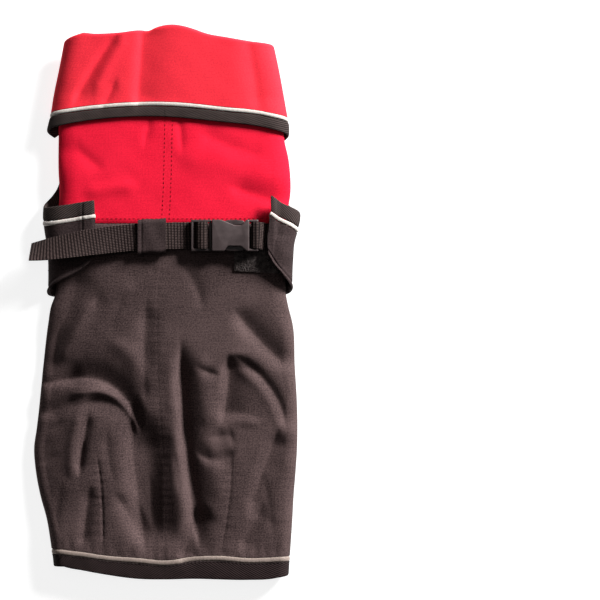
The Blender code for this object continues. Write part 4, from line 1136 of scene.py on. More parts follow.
# Loop pile lighter than the black cloth, standing in for light caught by the loops in the wing's
# shadow: painted highlight.
LOOPS_PAINTED_HIGHLIGHT = Finish("black_loops_painted_highlight", "loop_pile", (0.026, 0.020, 0.019), (0.130, 0.105, 0.100),
               Relief.PILE, 0.9, 0.4, 0.92, 0.10, flat_cloth=False)
RUBBER = Finish("label_rubber_soft", "label_rubber", (0.080, 0.060, 0.060),
                (0.125, 0.098, 0.098), Relief.GRAIN, 0.6, 0.02, 0.55, specular=0.3,
                flat_cloth=False)
THREAD = Finish("black_thread", "twill_binding", (0.016, 0.011, 0.011), (0.050, 0.038, 0.036),
                Relief.GRAIN, 0.25, 0.03, 0.6, flat_cloth=False)
# Red thread much darker than the red softshell it belongs to: painted shade along the stitches.
RED_THREAD_PAINTED_SHADE = Finish("red_thread_painted_shade", "red_softshell", (0.16, 0.002, 0.006), (0.30, 0.004, 0.012),
                    Relief.GRAIN, 0.25, 0.03, 0.6, flat_cloth=False)


def declare(u: Array, y: Array) -> None:
    """Work out the cross product of each cell's diagonals over a sheet's grid, and keep nothing.

    Args:
        u: The grid's coordinate round the coat, in millimetres.
        y: The grid's coordinate along the coat.
    """
    u, y = np.broadcast_arrays(u, y)
    cross = (u[1:, 1:] - u[:-1, :-1]) * (y[1:, :-1] - y[:-1, 1:])
    cross = cross - (y[1:, 1:] - y[:-1, :-1]) * (u[1:, :-1] - u[:-1, 1:])


def flat_profile(width: float, thickness: float, count: int) -> tuple[Array, Array]:
    """Return a flattened ring as shares of the width and depths below the outer face.

    It is a superellipse: each coordinate is the sign of the cosine or sine times its size to a
    small power, so the faces are flat and the edges round.
    """
    turn = np.linspace(0, 2 * math.pi, count, endpoint=False)
    power_across = 0.30 if width > 4 * thickness else 0.6
    across = np.sign(np.cos(turn)) * np.abs(np.cos(turn)) ** power_across
    depth = np.sign(np.sin(turn)) * np.abs(np.sin(turn)) ** 0.55
    return 0.5 + across / 2, thickness * (0.5 - depth / 2)


@dataclass
class Trim:
    """Piping and binding along edges of a form.

    Attributes:
        form: What the edges lie on.
        pipe_spread: Width of the bead over its height.
        pipe_finish: What the bead is made of.
        pipe_sides: Points round the bead.
        strip_sides: Points round the tape.
    """

    form: Form
    pipe_spread: float = PIPE_SPREAD
    pipe_finish: Finish = PIPING_PAINTED_REFLECTION
    pipe_sides: int = 16
    strip_sides: int = 28

    def piping(self, name: str, node: str, side: Array, u: Array, y: Array,
               depth: Array | float) -> bpy.types.Object:
        """Add the piping bead: a round section with a flattened crest, carried along a line.

        The bead swells and shrinks by a hundredth or two between its stitches, and is pressed
        flat where it would sink into the floor.
        """
        centre = self.form.point(side, u, y, depth)
        outward = unit(centre - self.form.point(side, u, y, depth + 1.0))
        tangent = unit(np.gradient(centre, axis=0))
        across = unit(np.cross(tangent, outward))
        up = np.cross(across, tangent)
        across = across * self.pipe_spread
        turn = np.linspace(0, 2 * math.pi, self.pipe_sides, endpoint=False)[:, None, None]
        along = chord_lengths(centre)
        swell = 1 + 0.012 * np.sin(2 * math.pi * along / 2.9) + 0.015 * np.sin(along / 7.7)
        radius = (PIPE_RADIUS * swell)[:, None]
        crest = np.sign(np.cos(turn)) * np.abs(np.cos(turn)) ** PIPE_CREST
        ring = centre + radius * (crest * up + np.sin(turn) * across)
        ring[..., 2] = np.maximum(ring[..., 2], 0.0)
        made = MAKE.bar(name, ring, self.pipe_finish)
        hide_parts(node)
        return made

    def flange(self, name: str, side: Array, u: Array, y: Array) -> None:
        """Add the piping's own seam allowance, which closes the seam beneath the bead."""
        share, depth = flat_profile(2 * FLANGE_REACH, FLANGE, self.strip_sides)
        reach = FLANGE_REACH * (1 - 2 * share[:, None])
        sunk = FLANGE_DEPTH + depth[:, None] + 0 * u
        MAKE.bar(name, self.form.point(side, u + 0 * reach, y + reach, sunk), HEM_TWILL_PAINTED_SHADE)

    def binding(self, name: str, node: str, side: Array, inner: tuple[Array, Array],
                outer: tuple[Array, Array], finish: Finish) -> bpy.types.Object:
        """Add the binding tape: a flattened ring carried between two lines on the form.

        Args:
            name: The piece's name.
            node: The solid that it stands for.
            side: The side of each point along it.
            inner: u and y of its edge beside the piping.
            outer: u and y of its free edge.
            finish: What it is made of.

        Returns:
            The new object.
        """
        share, depth = flat_profile(EDGE_WIDTH, BINDING, self.strip_sides)
        share = share[:, None]
        u = inner[0] + share * (outer[0] - inner[0])
        y = inner[1] + share * (outer[1] - inner[1])
        along = np.cumsum(np.hypot(np.gradient(inner[0]), np.gradient(inner[1])))
        pull = 0.12 * np.sin(along / 3.1 + 1.3 * np.sin(along / 9.0)) * np.sin(math.pi * share)
        made = MAKE.bar(name, self.form.point(side, u, y, depth[:, None] + pull), finish)
        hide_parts(node)
        return made


def along_line(distance: Array, chord: Array, values: Array) -> Array:
    """Return the values of a line, known at the distances of chord, at other distances."""
    return np.stack([np.interp(distance, chord, column) for column in values.T], axis=-1)


@dataclass
class Threads:
    """Topstitches gathered from many lines into one mesh for each colour.

    Attributes:
        pitch: Distance from one stitch to the next, in millimetres.
        length: Length of the thread that shows.
        radius: Half the thread's thickness.
        rise: Height of a stitch's middle above the cloth.
        sink: How much lower its ends lie.
    """

    pitch: float = 2.7
    length: float = 1.9
    radius: float = 0.23
    rise: float = 0.10
    sink: float = 0.22
    batches: list[Array] = field(default_factory=list)

    def line(self, points: Array, outward: Array) -> None:
        """Lay a row of stitches along points whose surface looks outward.

        Each stitch is a small bead: rings that shrink and sink towards both of its ends.
        """
        chord = chord_lengths(points)
        middle = np.arange(self.pitch / 2, chord[-1] - self.pitch / 2, self.pitch)
        if len(middle) == 0:
            return
        centre = along_line(middle, chord, points)
        ahead = along_line(middle + 0.3, chord, points)
        up = unit(along_line(middle, chord, outward))
        tangent = unit(ahead - centre)
        across = unit(np.cross(tangent, up))
        t = np.linspace(-1, 1, STITCH_RINGS)
        turn = np.linspace(0, 2 * math.pi, STITCH_SIDES, endpoint=False)
        radius = self.radius * np.sqrt(np.maximum(1 - t**4, 0.04))
        lift = self.rise - self.sink * t**2
        ring = (
            centre[:, None, None] + tangent[:, None, None] * (t * self.length / 2)[:, None, None]
            + across[:, None, None] * (radius[:, None] * np.cos(turn))[..., None]
            + up[:, None, None] * (lift[:, None] + radius[:, None] * np.sin(turn))[..., None]
        )
        ring[..., 2] = np.maximum(ring[..., 2], 0.0)
        self.batches.append(ring.reshape(-1, 3))

    def build(self, name: str, finish: Finish) -> None:
        """Add the mesh of all the stitches laid so far."""
        points = np.concatenate(self.batches)
        rings, sides = STITCH_RINGS, STITCH_SIDES
        one = grid_faces(sides, rings, closed=True)
        index = np.arange(rings * sides).reshape(rings, sides).T.ravel()
        one = index[one]
        count = len(points) // (rings * sides)
        base = np.arange(count)[:, None, None] * rings * sides
        faces = (one[None] + base).reshape(-1, 4)
        ends = np.stack([np.arange(sides)[::-1], np.arange(sides) + (rings - 1) * sides])
        caps = (ends[None] + base).reshape(-1, sides)
        MAKE.add(name, points, faces.tolist() + caps.tolist(), finish)


BLACK_STITCHES = Threads()
RED_STITCHES = Threads(pitch=3.2, length=2.1)


def stitch(threads: Threads, form: Form, side: Array, u: Array, y: Array) -> None:
    """Lay stitches along a line of u and y on a form."""
    points = form.point(side, u, y)
    threads.line(points, points - form.point(side, u, y, 1.0))


def front_line(side: float, count: int = 260) -> tuple[Array, Array]:
    """Return the piping line of a front edge as u and y, from the belly down to the side."""
    line = through(np.array(FRONT_RIGHT if side > 0 else FRONT_LEFT, float), count)
    return line[:, 0], line[:, 1]


def belly_hem(side: float, shift: float) -> Callable[[Array], Array]:
    """Return the hem on the belly as a function of x, moved by shift along the coat."""
    last = (FRONT_RIGHT if side > 0 else FRONT_LEFT)[-3:]
    return lambda x: np.interp(x, [row.x for row in last], [row.y + shift for row in last])


def hem_rim(side: float, place: Array, curve: Callable, belly_shift: float) -> Array:
    """Return y of a line along the hem, across the back and round to the belly."""
    return COAT.rim(side, place, curve, belly_hem(side, belly_shift), HEM_FRONT,
                    float(HEM_PIPING(0.0)))


def both_sides(build: Callable[[float], tuple[Array, ...]], place: Array) -> tuple[Array, ...]:
    """Join the right side's columns to the left side's across the middle of the back.

    Args:
        build: Returns u and y of a line, or of a grid, on one side.
        place: The stations of its columns.

    Returns:
        The sides, u and y of the joined line or grid.
    """
    right = build(1.0)
    left = build(-1.0)
    side = np.concatenate([np.ones(len(place)), -np.ones(len(place) - 1)])
    joined = [np.concatenate([r, le[..., -2::-1]], axis=-1) for r, le in zip(right, left)]
    return side, *joined


def bead_depth(place: Array) -> Array:
    """Return the depth of a bead's middle along both sides: it rises from the belly to the back."""
    both = np.concatenate([place, place[-2::-1]])
    return PIPE_DEPTH - PIPE_PROUD * ramp(both, 1.0, 3.0)


@dataclass
class Body:
    """The black body: two halves joined at the middle of the back.

    Attributes:
        belly_columns: Columns from the front edge to the belly's end.
        back_columns: Columns from the shoulder to the middle of the back.
        rows: Rows from the waist to the hem.
    """

    belly_columns: int = 24
    back_columns: int = 92
    rows: int = 210

    def build(self) -> None:
        """Build both halves and their topstitching."""
        for side, ending in SIDES:
            place = stations(self.belly_columns, 8, 10, self.back_columns)
            line_u, line_y = offset_line(*front_line(side), EDGE_STEP)
            order = np.argsort(line_y)
            piping = hem_rim(side, place, HEM_PIPING, 0.0)
            step = slant_step(COAT.station(side, place, piping, HEM_FRONT, 0.0), piping)
            bottom = piping + step + HEM_PIPE_DROP / 2
            share = np.linspace(0, 1, self.rows)[:, None]
            y = SEAM_Y - SEAM_GAP / 2 + share * (bottom - SEAM_Y + SEAM_GAP / 2)
            front = np.interp(y[:, :1], line_y[order], line_u[order])
            u = COAT.station(side, place, y, front, SEAM(y) + side * SEAM_SLIT)
            made = MAKE.sheet(f"body_cloth_{ending}", COAT.point(side, u, y), u, y, CLOTH, BLACK)
            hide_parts(f"body_{ending}")
            declare(u, y)
        self._stitch()

    @staticmethod
    def _stitch() -> None:
        """Stitch below the hem piping and beside the piping of the front edges."""
        place = np.linspace(HEM_START, 4.0, 200)

        def line(side: float) -> tuple[Array, Array]:
            """Return u and y of the stitches on the hem's tape on one side."""
            y = hem_rim(side, place, HEM_PIPING, 0.0) - EDGE_STEP - HEM_STITCH
            return COAT.station(side, place, y, HEM_FRONT, 0.0), y

        stitch(BLACK_STITCHES, COAT, *both_sides(line, place))
        for side, _ in SIDES:
            u, y = offset_line(*front_line(side), EDGE_STEP + EDGE_STITCH)
            stitch(BLACK_STITCHES, COAT, side, u, y)


@dataclass
class Neck:
    """The red neck section, up inside the turned-down collar."""

    back_columns: int = 56
    rows: int = 70

    def build(self) -> None:
        """Build both halves, and the double topstitching on their middle seam."""
        for side, ending in SIDES:
            place = stations(18, 8, 10, self.back_columns)
            tuck = COLLAR_TURN + COLLAR_INSIDE + POCKET_STEP
            top = Collar.rim(side, place, COLLAR_TOP_BACK, COLLAR_TOP_BELLY) - tuck
            low = SEAM_Y + SEAM_GAP / 2
            y = low + np.linspace(0, 1, self.rows)[:, None] * (top - low)
            u = COAT.station(side, place, y, NECK_FRONT, SEAM(y) + side * SEAM_SLIT)
            made = MAKE.sheet(f"neck_cloth_{ending}", COAT.point(side, u, y), u, y, CLOTH, RED)
            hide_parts(f"neck_{ending}")
            declare(u, y)
            over = np.linspace(2.6, 3.99, 160)
            waist = SEAM_Y + WAIST_STITCH + 0 * over
            stitch(RED_STITCHES, COAT, side, COAT.station(side, over, waist, NECK_FRONT, 0.0),
                   waist)
            y = np.linspace(SEAM_Y + 2.0, 140.0, 60)
            beside = SEAM(y) + side * SEAM_STITCH
            u = COAT.station(side, np.array(4.0), y, 0.0, beside)
            stitch(RED_STITCHES, COAT, side, u, y)


@dataclass
class Collar:
    """The turned-down collar: outer leg, round fold at the neck mouth, inner leg and trim.

    Attributes:
        back_columns: Columns from the shoulder to the middle of the back.
        leg_rows: Rows of the outer leg.
        turn_rows: Rows of the round fold.
    """

    back_columns: int = 64
    leg_rows: int = 46
    turn_rows: int = 12

    @staticmethod
    def rim(side: float, place: Array, back_rows: Sequence[RimRow],
            belly_rows: Sequence[RimRow]) -> Array:
        """Return y of a line along the collar, across the back and round to the belly."""
        back = rim_curve(back_rows)
        return COLLAR.rim(side, place, back, rim_curve(belly_rows), COLLAR_FRONT,
                          float(back(0.0)))

    @staticmethod
    def step(side: float, place: Array, y: Array) -> Array:
        """Return the clearance along y of the cloth and the binding to the piping."""
        return slant_step(COLLAR.station(side, place, y, COLLAR_FRONT, 0.0), y) + COLLAR_CLEAR

    def build(self) -> None:
        """Build the cloth, then the piping and the binding along its lower edge."""
        place = stations(14, 8, 10, self.back_columns)

        def cloth(side: float) -> tuple[Array, Array, Array]:
            """Return u, y and depth of the collar's grid on one side."""
            piping = self.rim(side, place, COLLAR_PIPING_BACK, COLLAR_PIPING_BELLY)
            low = piping + self.step(side, place, piping)
            top = self.rim(side, place, COLLAR_TOP_BACK, COLLAR_TOP_BELLY) - COLLAR_TURN
            leg = np.linspace(0, 1, self.leg_rows)[:, None]
            turn = np.linspace(0, math.pi, self.turn_rows)[1:, None]
            inner = np.linspace(0, 1, 8)[1:, None]
            y = np.concatenate([low + leg * (top - low), top + COLLAR_TURN * np.sin(turn),
                                top - COLLAR_INSIDE * inner])
            depth = np.concatenate([0 * leg, COLLAR_TURN * (1 - np.cos(turn)),
                                    2 * COLLAR_TURN + 0 * inner])
            u = COLLAR.station(side, place, np.minimum(y, top), COLLAR_FRONT, 0.0)
            return u, y, depth + 0 * y

        side, u, y, depth = both_sides(cloth, place)
        made = MAKE.sheet("collar_cloth", COLLAR.point(side, u, y, depth), side * u,
                          y + 2 * depth, CLOTH, COLLAR_RED_PAINTED_SHEEN)
        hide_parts("collar")
        trim = self._trim()
        length = np.cumsum(np.hypot(np.gradient(y, axis=0), np.gradient(depth, axis=0)), axis=0)
        whole = np.max(u)
        declare(np.where(side > 0, u, 2 * whole - u), length)

    def _trim(self) -> list[bpy.types.Object]:
        """Build the piping and the binding."""
        place = stations(22, 26, 34, 150)

        piping = (COLLAR_PIPING_BACK, COLLAR_PIPING_BELLY)
        edge = (COLLAR_EDGE_BACK, COLLAR_EDGE_BELLY)

        def line(tables: tuple, clear: bool) -> Callable:
            """Return a builder of u and y of one line along the collar."""
            def on(side: float) -> tuple[Array, Array]:
                """Return u and y on one side."""
                y = self.rim(side, place, *tables)
                if clear:
                    y = y - self.step(side, place, y)
                return COLLAR.station(side, place, y, COLLAR_FRONT, 0.0), y
            return on

        trim = Trim(COLLAR)
        side, u, y = both_sides(line(piping, False), place)
        bead = trim.piping("collar_bead", "collar_piping", side, u, y, bead_depth(place))
        _, *inner = both_sides(line(piping, True), place)
        _, *outer = both_sides(line(edge, False), place)
        tape = trim.binding("collar_tape", "collar_binding", side, inner, outer, TWILL)
        return [bead, tape]


class Hem:
    """Piping and binding along the back hem and round both sides."""

    def build(self) -> None:
        """Build the bead and the tape, whose edge is tucked under the bead."""
        place = stations(4, 26, 34, 190)
        place = np.concatenate([[HEM_START], place[place > HEM_START]])

        def line(curve: Callable, shift: float, clear: bool) -> Callable:
            """Return a builder of u and y of one line along the hem."""
            def on(side: float) -> tuple[Array, Array]:
                """Return u and y on one side."""
                y = hem_rim(side, place, curve, shift)
                if clear:
                    step = slant_step(COAT.station(side, place, y, HEM_FRONT, 0.0), y)
                    y = y - step + HEM_TUCK
                return COAT.station(side, place, y, HEM_FRONT, 0.0), y
            return on

        trim = Trim(COAT, HEM_PIPE_SPREAD, PIPING)
        side, u, y = both_sides(line(HEM_PIPING, 0.0, False), place)
        trim.piping("hem_bead", "hem_piping", side, u, y - HEM_PIPE_DROP, bead_depth(place))
        trim.flange("hem_flange", side, u, y)
        _, *inner = both_sides(line(HEM_PIPING, 0.0, True), place)
        _, *outer = both_sides(line(HEM_LOWER, -EDGE_STEP - EDGE_WIDTH, False), place)
        trim.binding("hem_tape", "hem_binding", side, inner, outer, HEM_TWILL_PAINTED_SHADE)


class FrontEdges:
    """Piping and binding along the body's front edges on the belly."""

    def build(self) -> None:
        """Build the bead and the tape of both edges."""
        trim = Trim(COAT, pipe_finish=PIPING)
        for side, ending in SIDES:
            u, y = front_line(side, 420)
            trim.piping(f"edge_bead_{ending}", f"edge_piping_{ending}", side, u, y, PIPE_DEPTH)
            inner = offset_line(u, y, -EDGE_STEP)
            outer = offset_line(u, y, -EDGE_STEP - EDGE_WIDTH)
            trim.binding(f"edge_tape_{ending}", f"edge_binding_{ending}", side, inner, outer,
                         HEM_TWILL_PAINTED_SHADE)


@dataclass
class ChestPanel:
    """The belly panel with its strip between the forelegs and its two wings.

    Attributes:
        points_along: Points along one side's armhole line.
        rows: Rows from the lower edge to the armhole line.
        strip_points: Those of the points that lie on the belly.
        middle_columns: Columns between the middle of the belly and the armhole line.
        wing_columns: Columns at each end that carry no stitches of the casing.
    """

    points_along: int = 230
    rows: int = 60
    strip_points: int = 115
    middle_columns: int = 25
    wing_columns: int = 60

    def lines(self, side: float) -> tuple[Array, ...]:
        """Return the armhole piping line, the bottom line below it, and where the wing starts."""
        rules = CHEST_RIGHT if side > 0 else CHEST_LEFT
        top_u = np.array([CHEST.around(r.face, r.x_top, r.y_top, side) for r in rules])
        low_u = np.array([CHEST.around(r.face, r.x_low, r.y_low, side) for r in rules])
        top_y = np.array([r.y_top for r in rules])
        low_y = np.array([r.y_low for r in rules])
        chord = chord_lengths(np.stack([top_u, top_y], axis=-1))
        turn = chord[sum(r.face is Face.BELLY for r in rules) - 1]
        t = np.concatenate([np.linspace(0.0, turn, self.strip_points)[:-1],
                            np.linspace(turn, chord[-1], self.points_along - self.strip_points)])
        curves = [smooth(chord, column)(t) for column in (top_u, top_y, low_u, low_y)]
        return *curves, (t - turn) / 8.0

    @staticmethod
    def _edge_relief(edge: Array, on_back: Array) -> Array:
        """Return how far the panel is moved inwards at a distance from its lower edge.

        A wing's edge is a rolled hem that stands up from the back. The belly's is a flat
        casing with a groove along each of its two stitch lines.
        """
        hem = -0.9 * bump(edge, 1.3, 1.5) - 1.1 * bump(edge, 0.0, 8.0) + 0.6 * bump(edge, 4.2, 0.8)
        casing = 0.4 * sum(bump(edge, line, 0.9) for line in CASING_LINES)
        return on_back * hem + (1 - on_back) * casing

    def _half(self, side: float, ending: str) -> tuple:
        """Build the trim of one side, and return its half of the panel's grid.

        Args:
            side: 1 for the right side, -1 for the left.
            ending: The end of its pieces' names.

        Returns:
            u and y of the grid, each column's place past the side fold, and the trim's pieces.
        """
        u, y, low_u, low_y, past = self.lines(side)
        curled = ramp(past, -2.0, 0.0) - ramp(past, 3.5, 6.0)
        step = EDGE_STEP + CURL_STEP * curled
        panel_u, panel_y = offset_line(u, y, -step)
        middle = np.linspace(0, 1, self.middle_columns + 1)[:-1]
        top_u = np.concatenate([middle * panel_u[0], panel_u])
        top_y = np.concatenate([0 * middle + panel_y[0], panel_y])
        base_u = np.concatenate([middle * low_u[0], low_u])
        base_y = np.concatenate([0 * middle + low_y[0], low_y])
        share = np.linspace(0, 1, self.rows)[:, None]
        grid_u = base_u + share * (top_u - base_u)
        grid_y = base_y + share * (top_y - base_y)

        trim = Trim(CHEST)
        depth = PIPE_DEPTH - PIPE_PROUD * ramp(past, 0.0, 2.5)
        bead = trim.piping(f"chest_bead_{ending}", f"chest_piping_{ending}", side, u, y, depth)
        width = CHEST_WIDTH - (CHEST_WIDTH - CHEST_SIDE_WIDTH) * ramp(past, -1.5, 1.5)
        inner = offset_line(u, y, step)
        outer = offset_line(u, y, step + width)
        if side > 0:
            lean = WING_LEAN * ramp(past, past[-1] - 2.2, past[-1])
            rate = np.hypot(np.gradient(u), np.gradient(y))
            outer = (outer[0] + lean * np.gradient(u) / rate,
                     outer[1] + lean * np.gradient(y) / rate)
        tape = trim.binding(f"chest_tape_{ending}", f"chest_binding_{ending}", side, inner, outer,
                            TWILL)
        return grid_u, grid_y, np.concatenate([0 * middle + past[0], past]), [bead, tape]

    def build(self) -> None:
        """Build the trim of both sides, then the panel and its stitching."""
        right_u, right_y, right_past, right_trim = self._half(*SIDES[0])
        left_u, left_y, left_past, left_trim = self._half(*SIDES[1])
        side = np.concatenate([-np.ones(left_u.shape[1] - 1), np.ones(right_u.shape[1])])
        u = np.concatenate([left_u[:, :0:-1], right_u], axis=1)
        y = np.concatenate([left_y[:, :0:-1], right_y], axis=1)
        share = np.linspace(0, 1, self.rows)[:, None]
        edge = share * np.hypot(u[-1] - u[0], y[-1] - y[0])
        past = np.concatenate([left_past[:0:-1], right_past])
        relief = self._edge_relief(edge, ramp(past, 1.4, 3.2))
        points = CHEST.point(side, u, y, relief)
        points[..., 2] = np.maximum(points[..., 2], 0.0)
        made = MAKE.sheet("chest_cloth", points, side * u, y, CLOTH, BLACK_PAINTED_SHADE)
        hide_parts("chest_panel")
        declare(side * u, y)
        belly = slice(self.wing_columns, -self.wing_columns)
        for up in CASING_LINES:
            line = u[0] + up / BAND_HEIGHT * (u[-1] - u[0])
            stitch(BLACK_STITCHES, CHEST, side[belly], line[belly], (y[0] + up)[belly])


@dataclass
class Lining:
    """The grey fleece inside the back, which joins the cloth at the hem."""

    columns: int = 90
    rows: int = 80

    def build(self) -> None:
        """Build the fleece as a sheet below the back, following its folds less deeply."""
        x = np.linspace(LINING_LEFT, LINING_RIGHT, self.columns)
        bottom = HEM_PIPING(x) + EDGE_STEP + GAP
        share = np.linspace(0, 1, self.rows)[:, None]
        y = LINING_TOP + share * (bottom - LINING_TOP)
        joined = CLOTH + 2 * GAP
        drop = LINING_DROP - (LINING_DROP - joined) * ramp(share, 0.8, 1.0)
        folds = crease_height(FOLDS, x, y)
        z = BACK_HEIGHT + CROWN * (1 - (x / HALF_WIDTH) ** 2) - drop + LINING_FOLD_SHARE * folds
        z = np.minimum(z, sewn_back(x + 0 * y, y + 0 * x) - joined)
        points = np.stack(np.broadcast_arrays(x, y, z), axis=-1)
        made = MAKE.sheet("lining_fleece", points, x, y, LINING, FLEECE)
        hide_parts("lining")
        declare(x + 0 * y, y)


@dataclass
class Strap:
    """Webbing carried along rows of places on its outer face.

    Attributes:
        name: The piece's name.
        node: The solid that it stands for.
        rows: The places.
        outer_sign: 1 or -1, which turns the section's outer face outwards.
        points: Sections along the strap.
        section: Points round a section.
        pick: Distance from one rib across the strap to the next, in millimetres.
        pick_height: Height of a rib.
        dot: Distance from one dot on a rib to the next.
        dot_height: Height of a dot.
    """

    name: str
    node: str
    rows: Sequence[StrapRow]
    outer_sign: float
    points: int = 700
    section: int = 36
    pick: float = 2.25
    pick_height: float = 0.20
    dot: float = 1.15
    dot_height: float = 0.04

    def build(self) -> None:
        """Build the strap: a flattened ring with picks across it as low ribs."""
        table = np.array(self.rows, float)
        path = through(table, self.points)
        centre = path[:, :3]
        tilt = np.radians(path[:, 3])
        tangent = unit(np.gradient(centre, axis=0))
        across = np.stack([0 * tilt, np.cos(tilt), -np.sin(tilt)], axis=-1)
        across = unit(across - tangent * (across * tangent).sum(-1, keepdims=True))
        outward = self.outer_sign * np.cross(across, tangent)
        share, depth = flat_profile(WEB_WIDTH, WEB, self.section)
        along = chord_lengths(centre)
        rib = self.pick_height * (np.abs(np.sin(math.pi * along / self.pick)) - 0.5)
        face = np.clip(np.abs(depth - WEB / 2) / (WEB / 2), 0, 1) * np.sign(WEB / 2 - depth)
        dots = self.dot_height * np.sin(2 * math.pi * (share - 0.5) * WEB_WIDTH / self.dot)
        lift = (rib[None, :] + dots[:, None]) * face[:, None] - depth[:, None]
        offset = (share - 0.5)[:, None] * WEB_WIDTH
        points = centre + across * offset[..., None] + outward * lift[..., None]
        made = MAKE.bar(self.name, points, WEBBING)
        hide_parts(self.node)


@dataclass
class Keeper:
    """The soft loop of cloth that holds the strap's free tail down.

    Attributes:
        start: x of its left edge.
        end: x of its right edge.
        middle_y: y of its middle.
        slope: How much y rises for each millimetre of x.
        half_width: Half its width across the strap.
        low: Height of its lower face.
        high: Height of its upper face.
        wall: Thickness of its cloth.
    """

    start: float = -19.5
    end: float = 0.6
    middle_y: float = 47.3
    slope: float = 0.07
    half_width: float = 12.6
    low: float = 15.4
    high: float = 21.7
    wall: float = 1.1

    def build(self) -> None:
        """Build the loop: a rounded oblong section carried along the strap, a little crumpled."""
        middle = (self.low + self.high) / 2
        corner = (self.high - self.low) / 2
        turn = np.linspace(0, math.pi, 24)
        flat = np.linspace(0, 1, 26)[1:-1]
        inner_half = self.half_width - corner
        arc_y = inner_half + corner * np.sin(turn)
        arc_z = middle + corner * np.cos(turn)
        bottom_y = inner_half - 2 * inner_half * flat
        loop_y = np.concatenate([arc_y, bottom_y, -arc_y, -bottom_y])
        loop_z = np.concatenate([arc_z, self.low + 0 * flat, 2 * middle - arc_z,
                                 self.high + 0 * flat])
        x = np.linspace(self.start, self.end, 40)
        loop = loop_y[:, None]
        top = loop_z[:, None] > middle
        crumple = 0.16 * np.sin(x / 2.3 + loop / 5.0) + 0.12 * np.sin(loop / 2.9 - x / 4.0)
        z = loop_z[:, None] + np.where(top, crumple, 0.0)
        z = z - np.where(top, 0.45 * bump(x, self.start + 2.6, 0.8), 0.0)
        y = self.middle_y + self.slope * (x - (self.start + self.end) / 2) + loop
        y = y + 0.25 * np.sin(x / 3.0)
        points = np.stack(np.broadcast_arrays(x, y, z), axis=-1)
        around = chord_lengths(np.stack([loop_y, loop_z], axis=-1))
        faces = grid_faces(*points.shape[:2], closed=True)
        round_it = np.append(around, around[-1] + 1)[:, None]
        uv = cell_corners(np.stack(np.broadcast_arrays(x, round_it), axis=-1))
        flat_points = points.reshape(-1, 3)
        away = (flat_points[faces[:, 0]] - (0.0, self.middle_y, middle)) * (0.0, 1.0, 1.0)
        if faces_inwards(flat_points, faces, away):
            faces = faces[:, ::-1]
            uv = uv[:, :, ::-1]
        made = MAKE.add("keeper_cloth", points, faces.tolist(), BLACK_PAINTED_SHADE, uv.reshape(-1, 2) * MM)
        give_wall(made, self.wall)
        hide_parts("keeper")


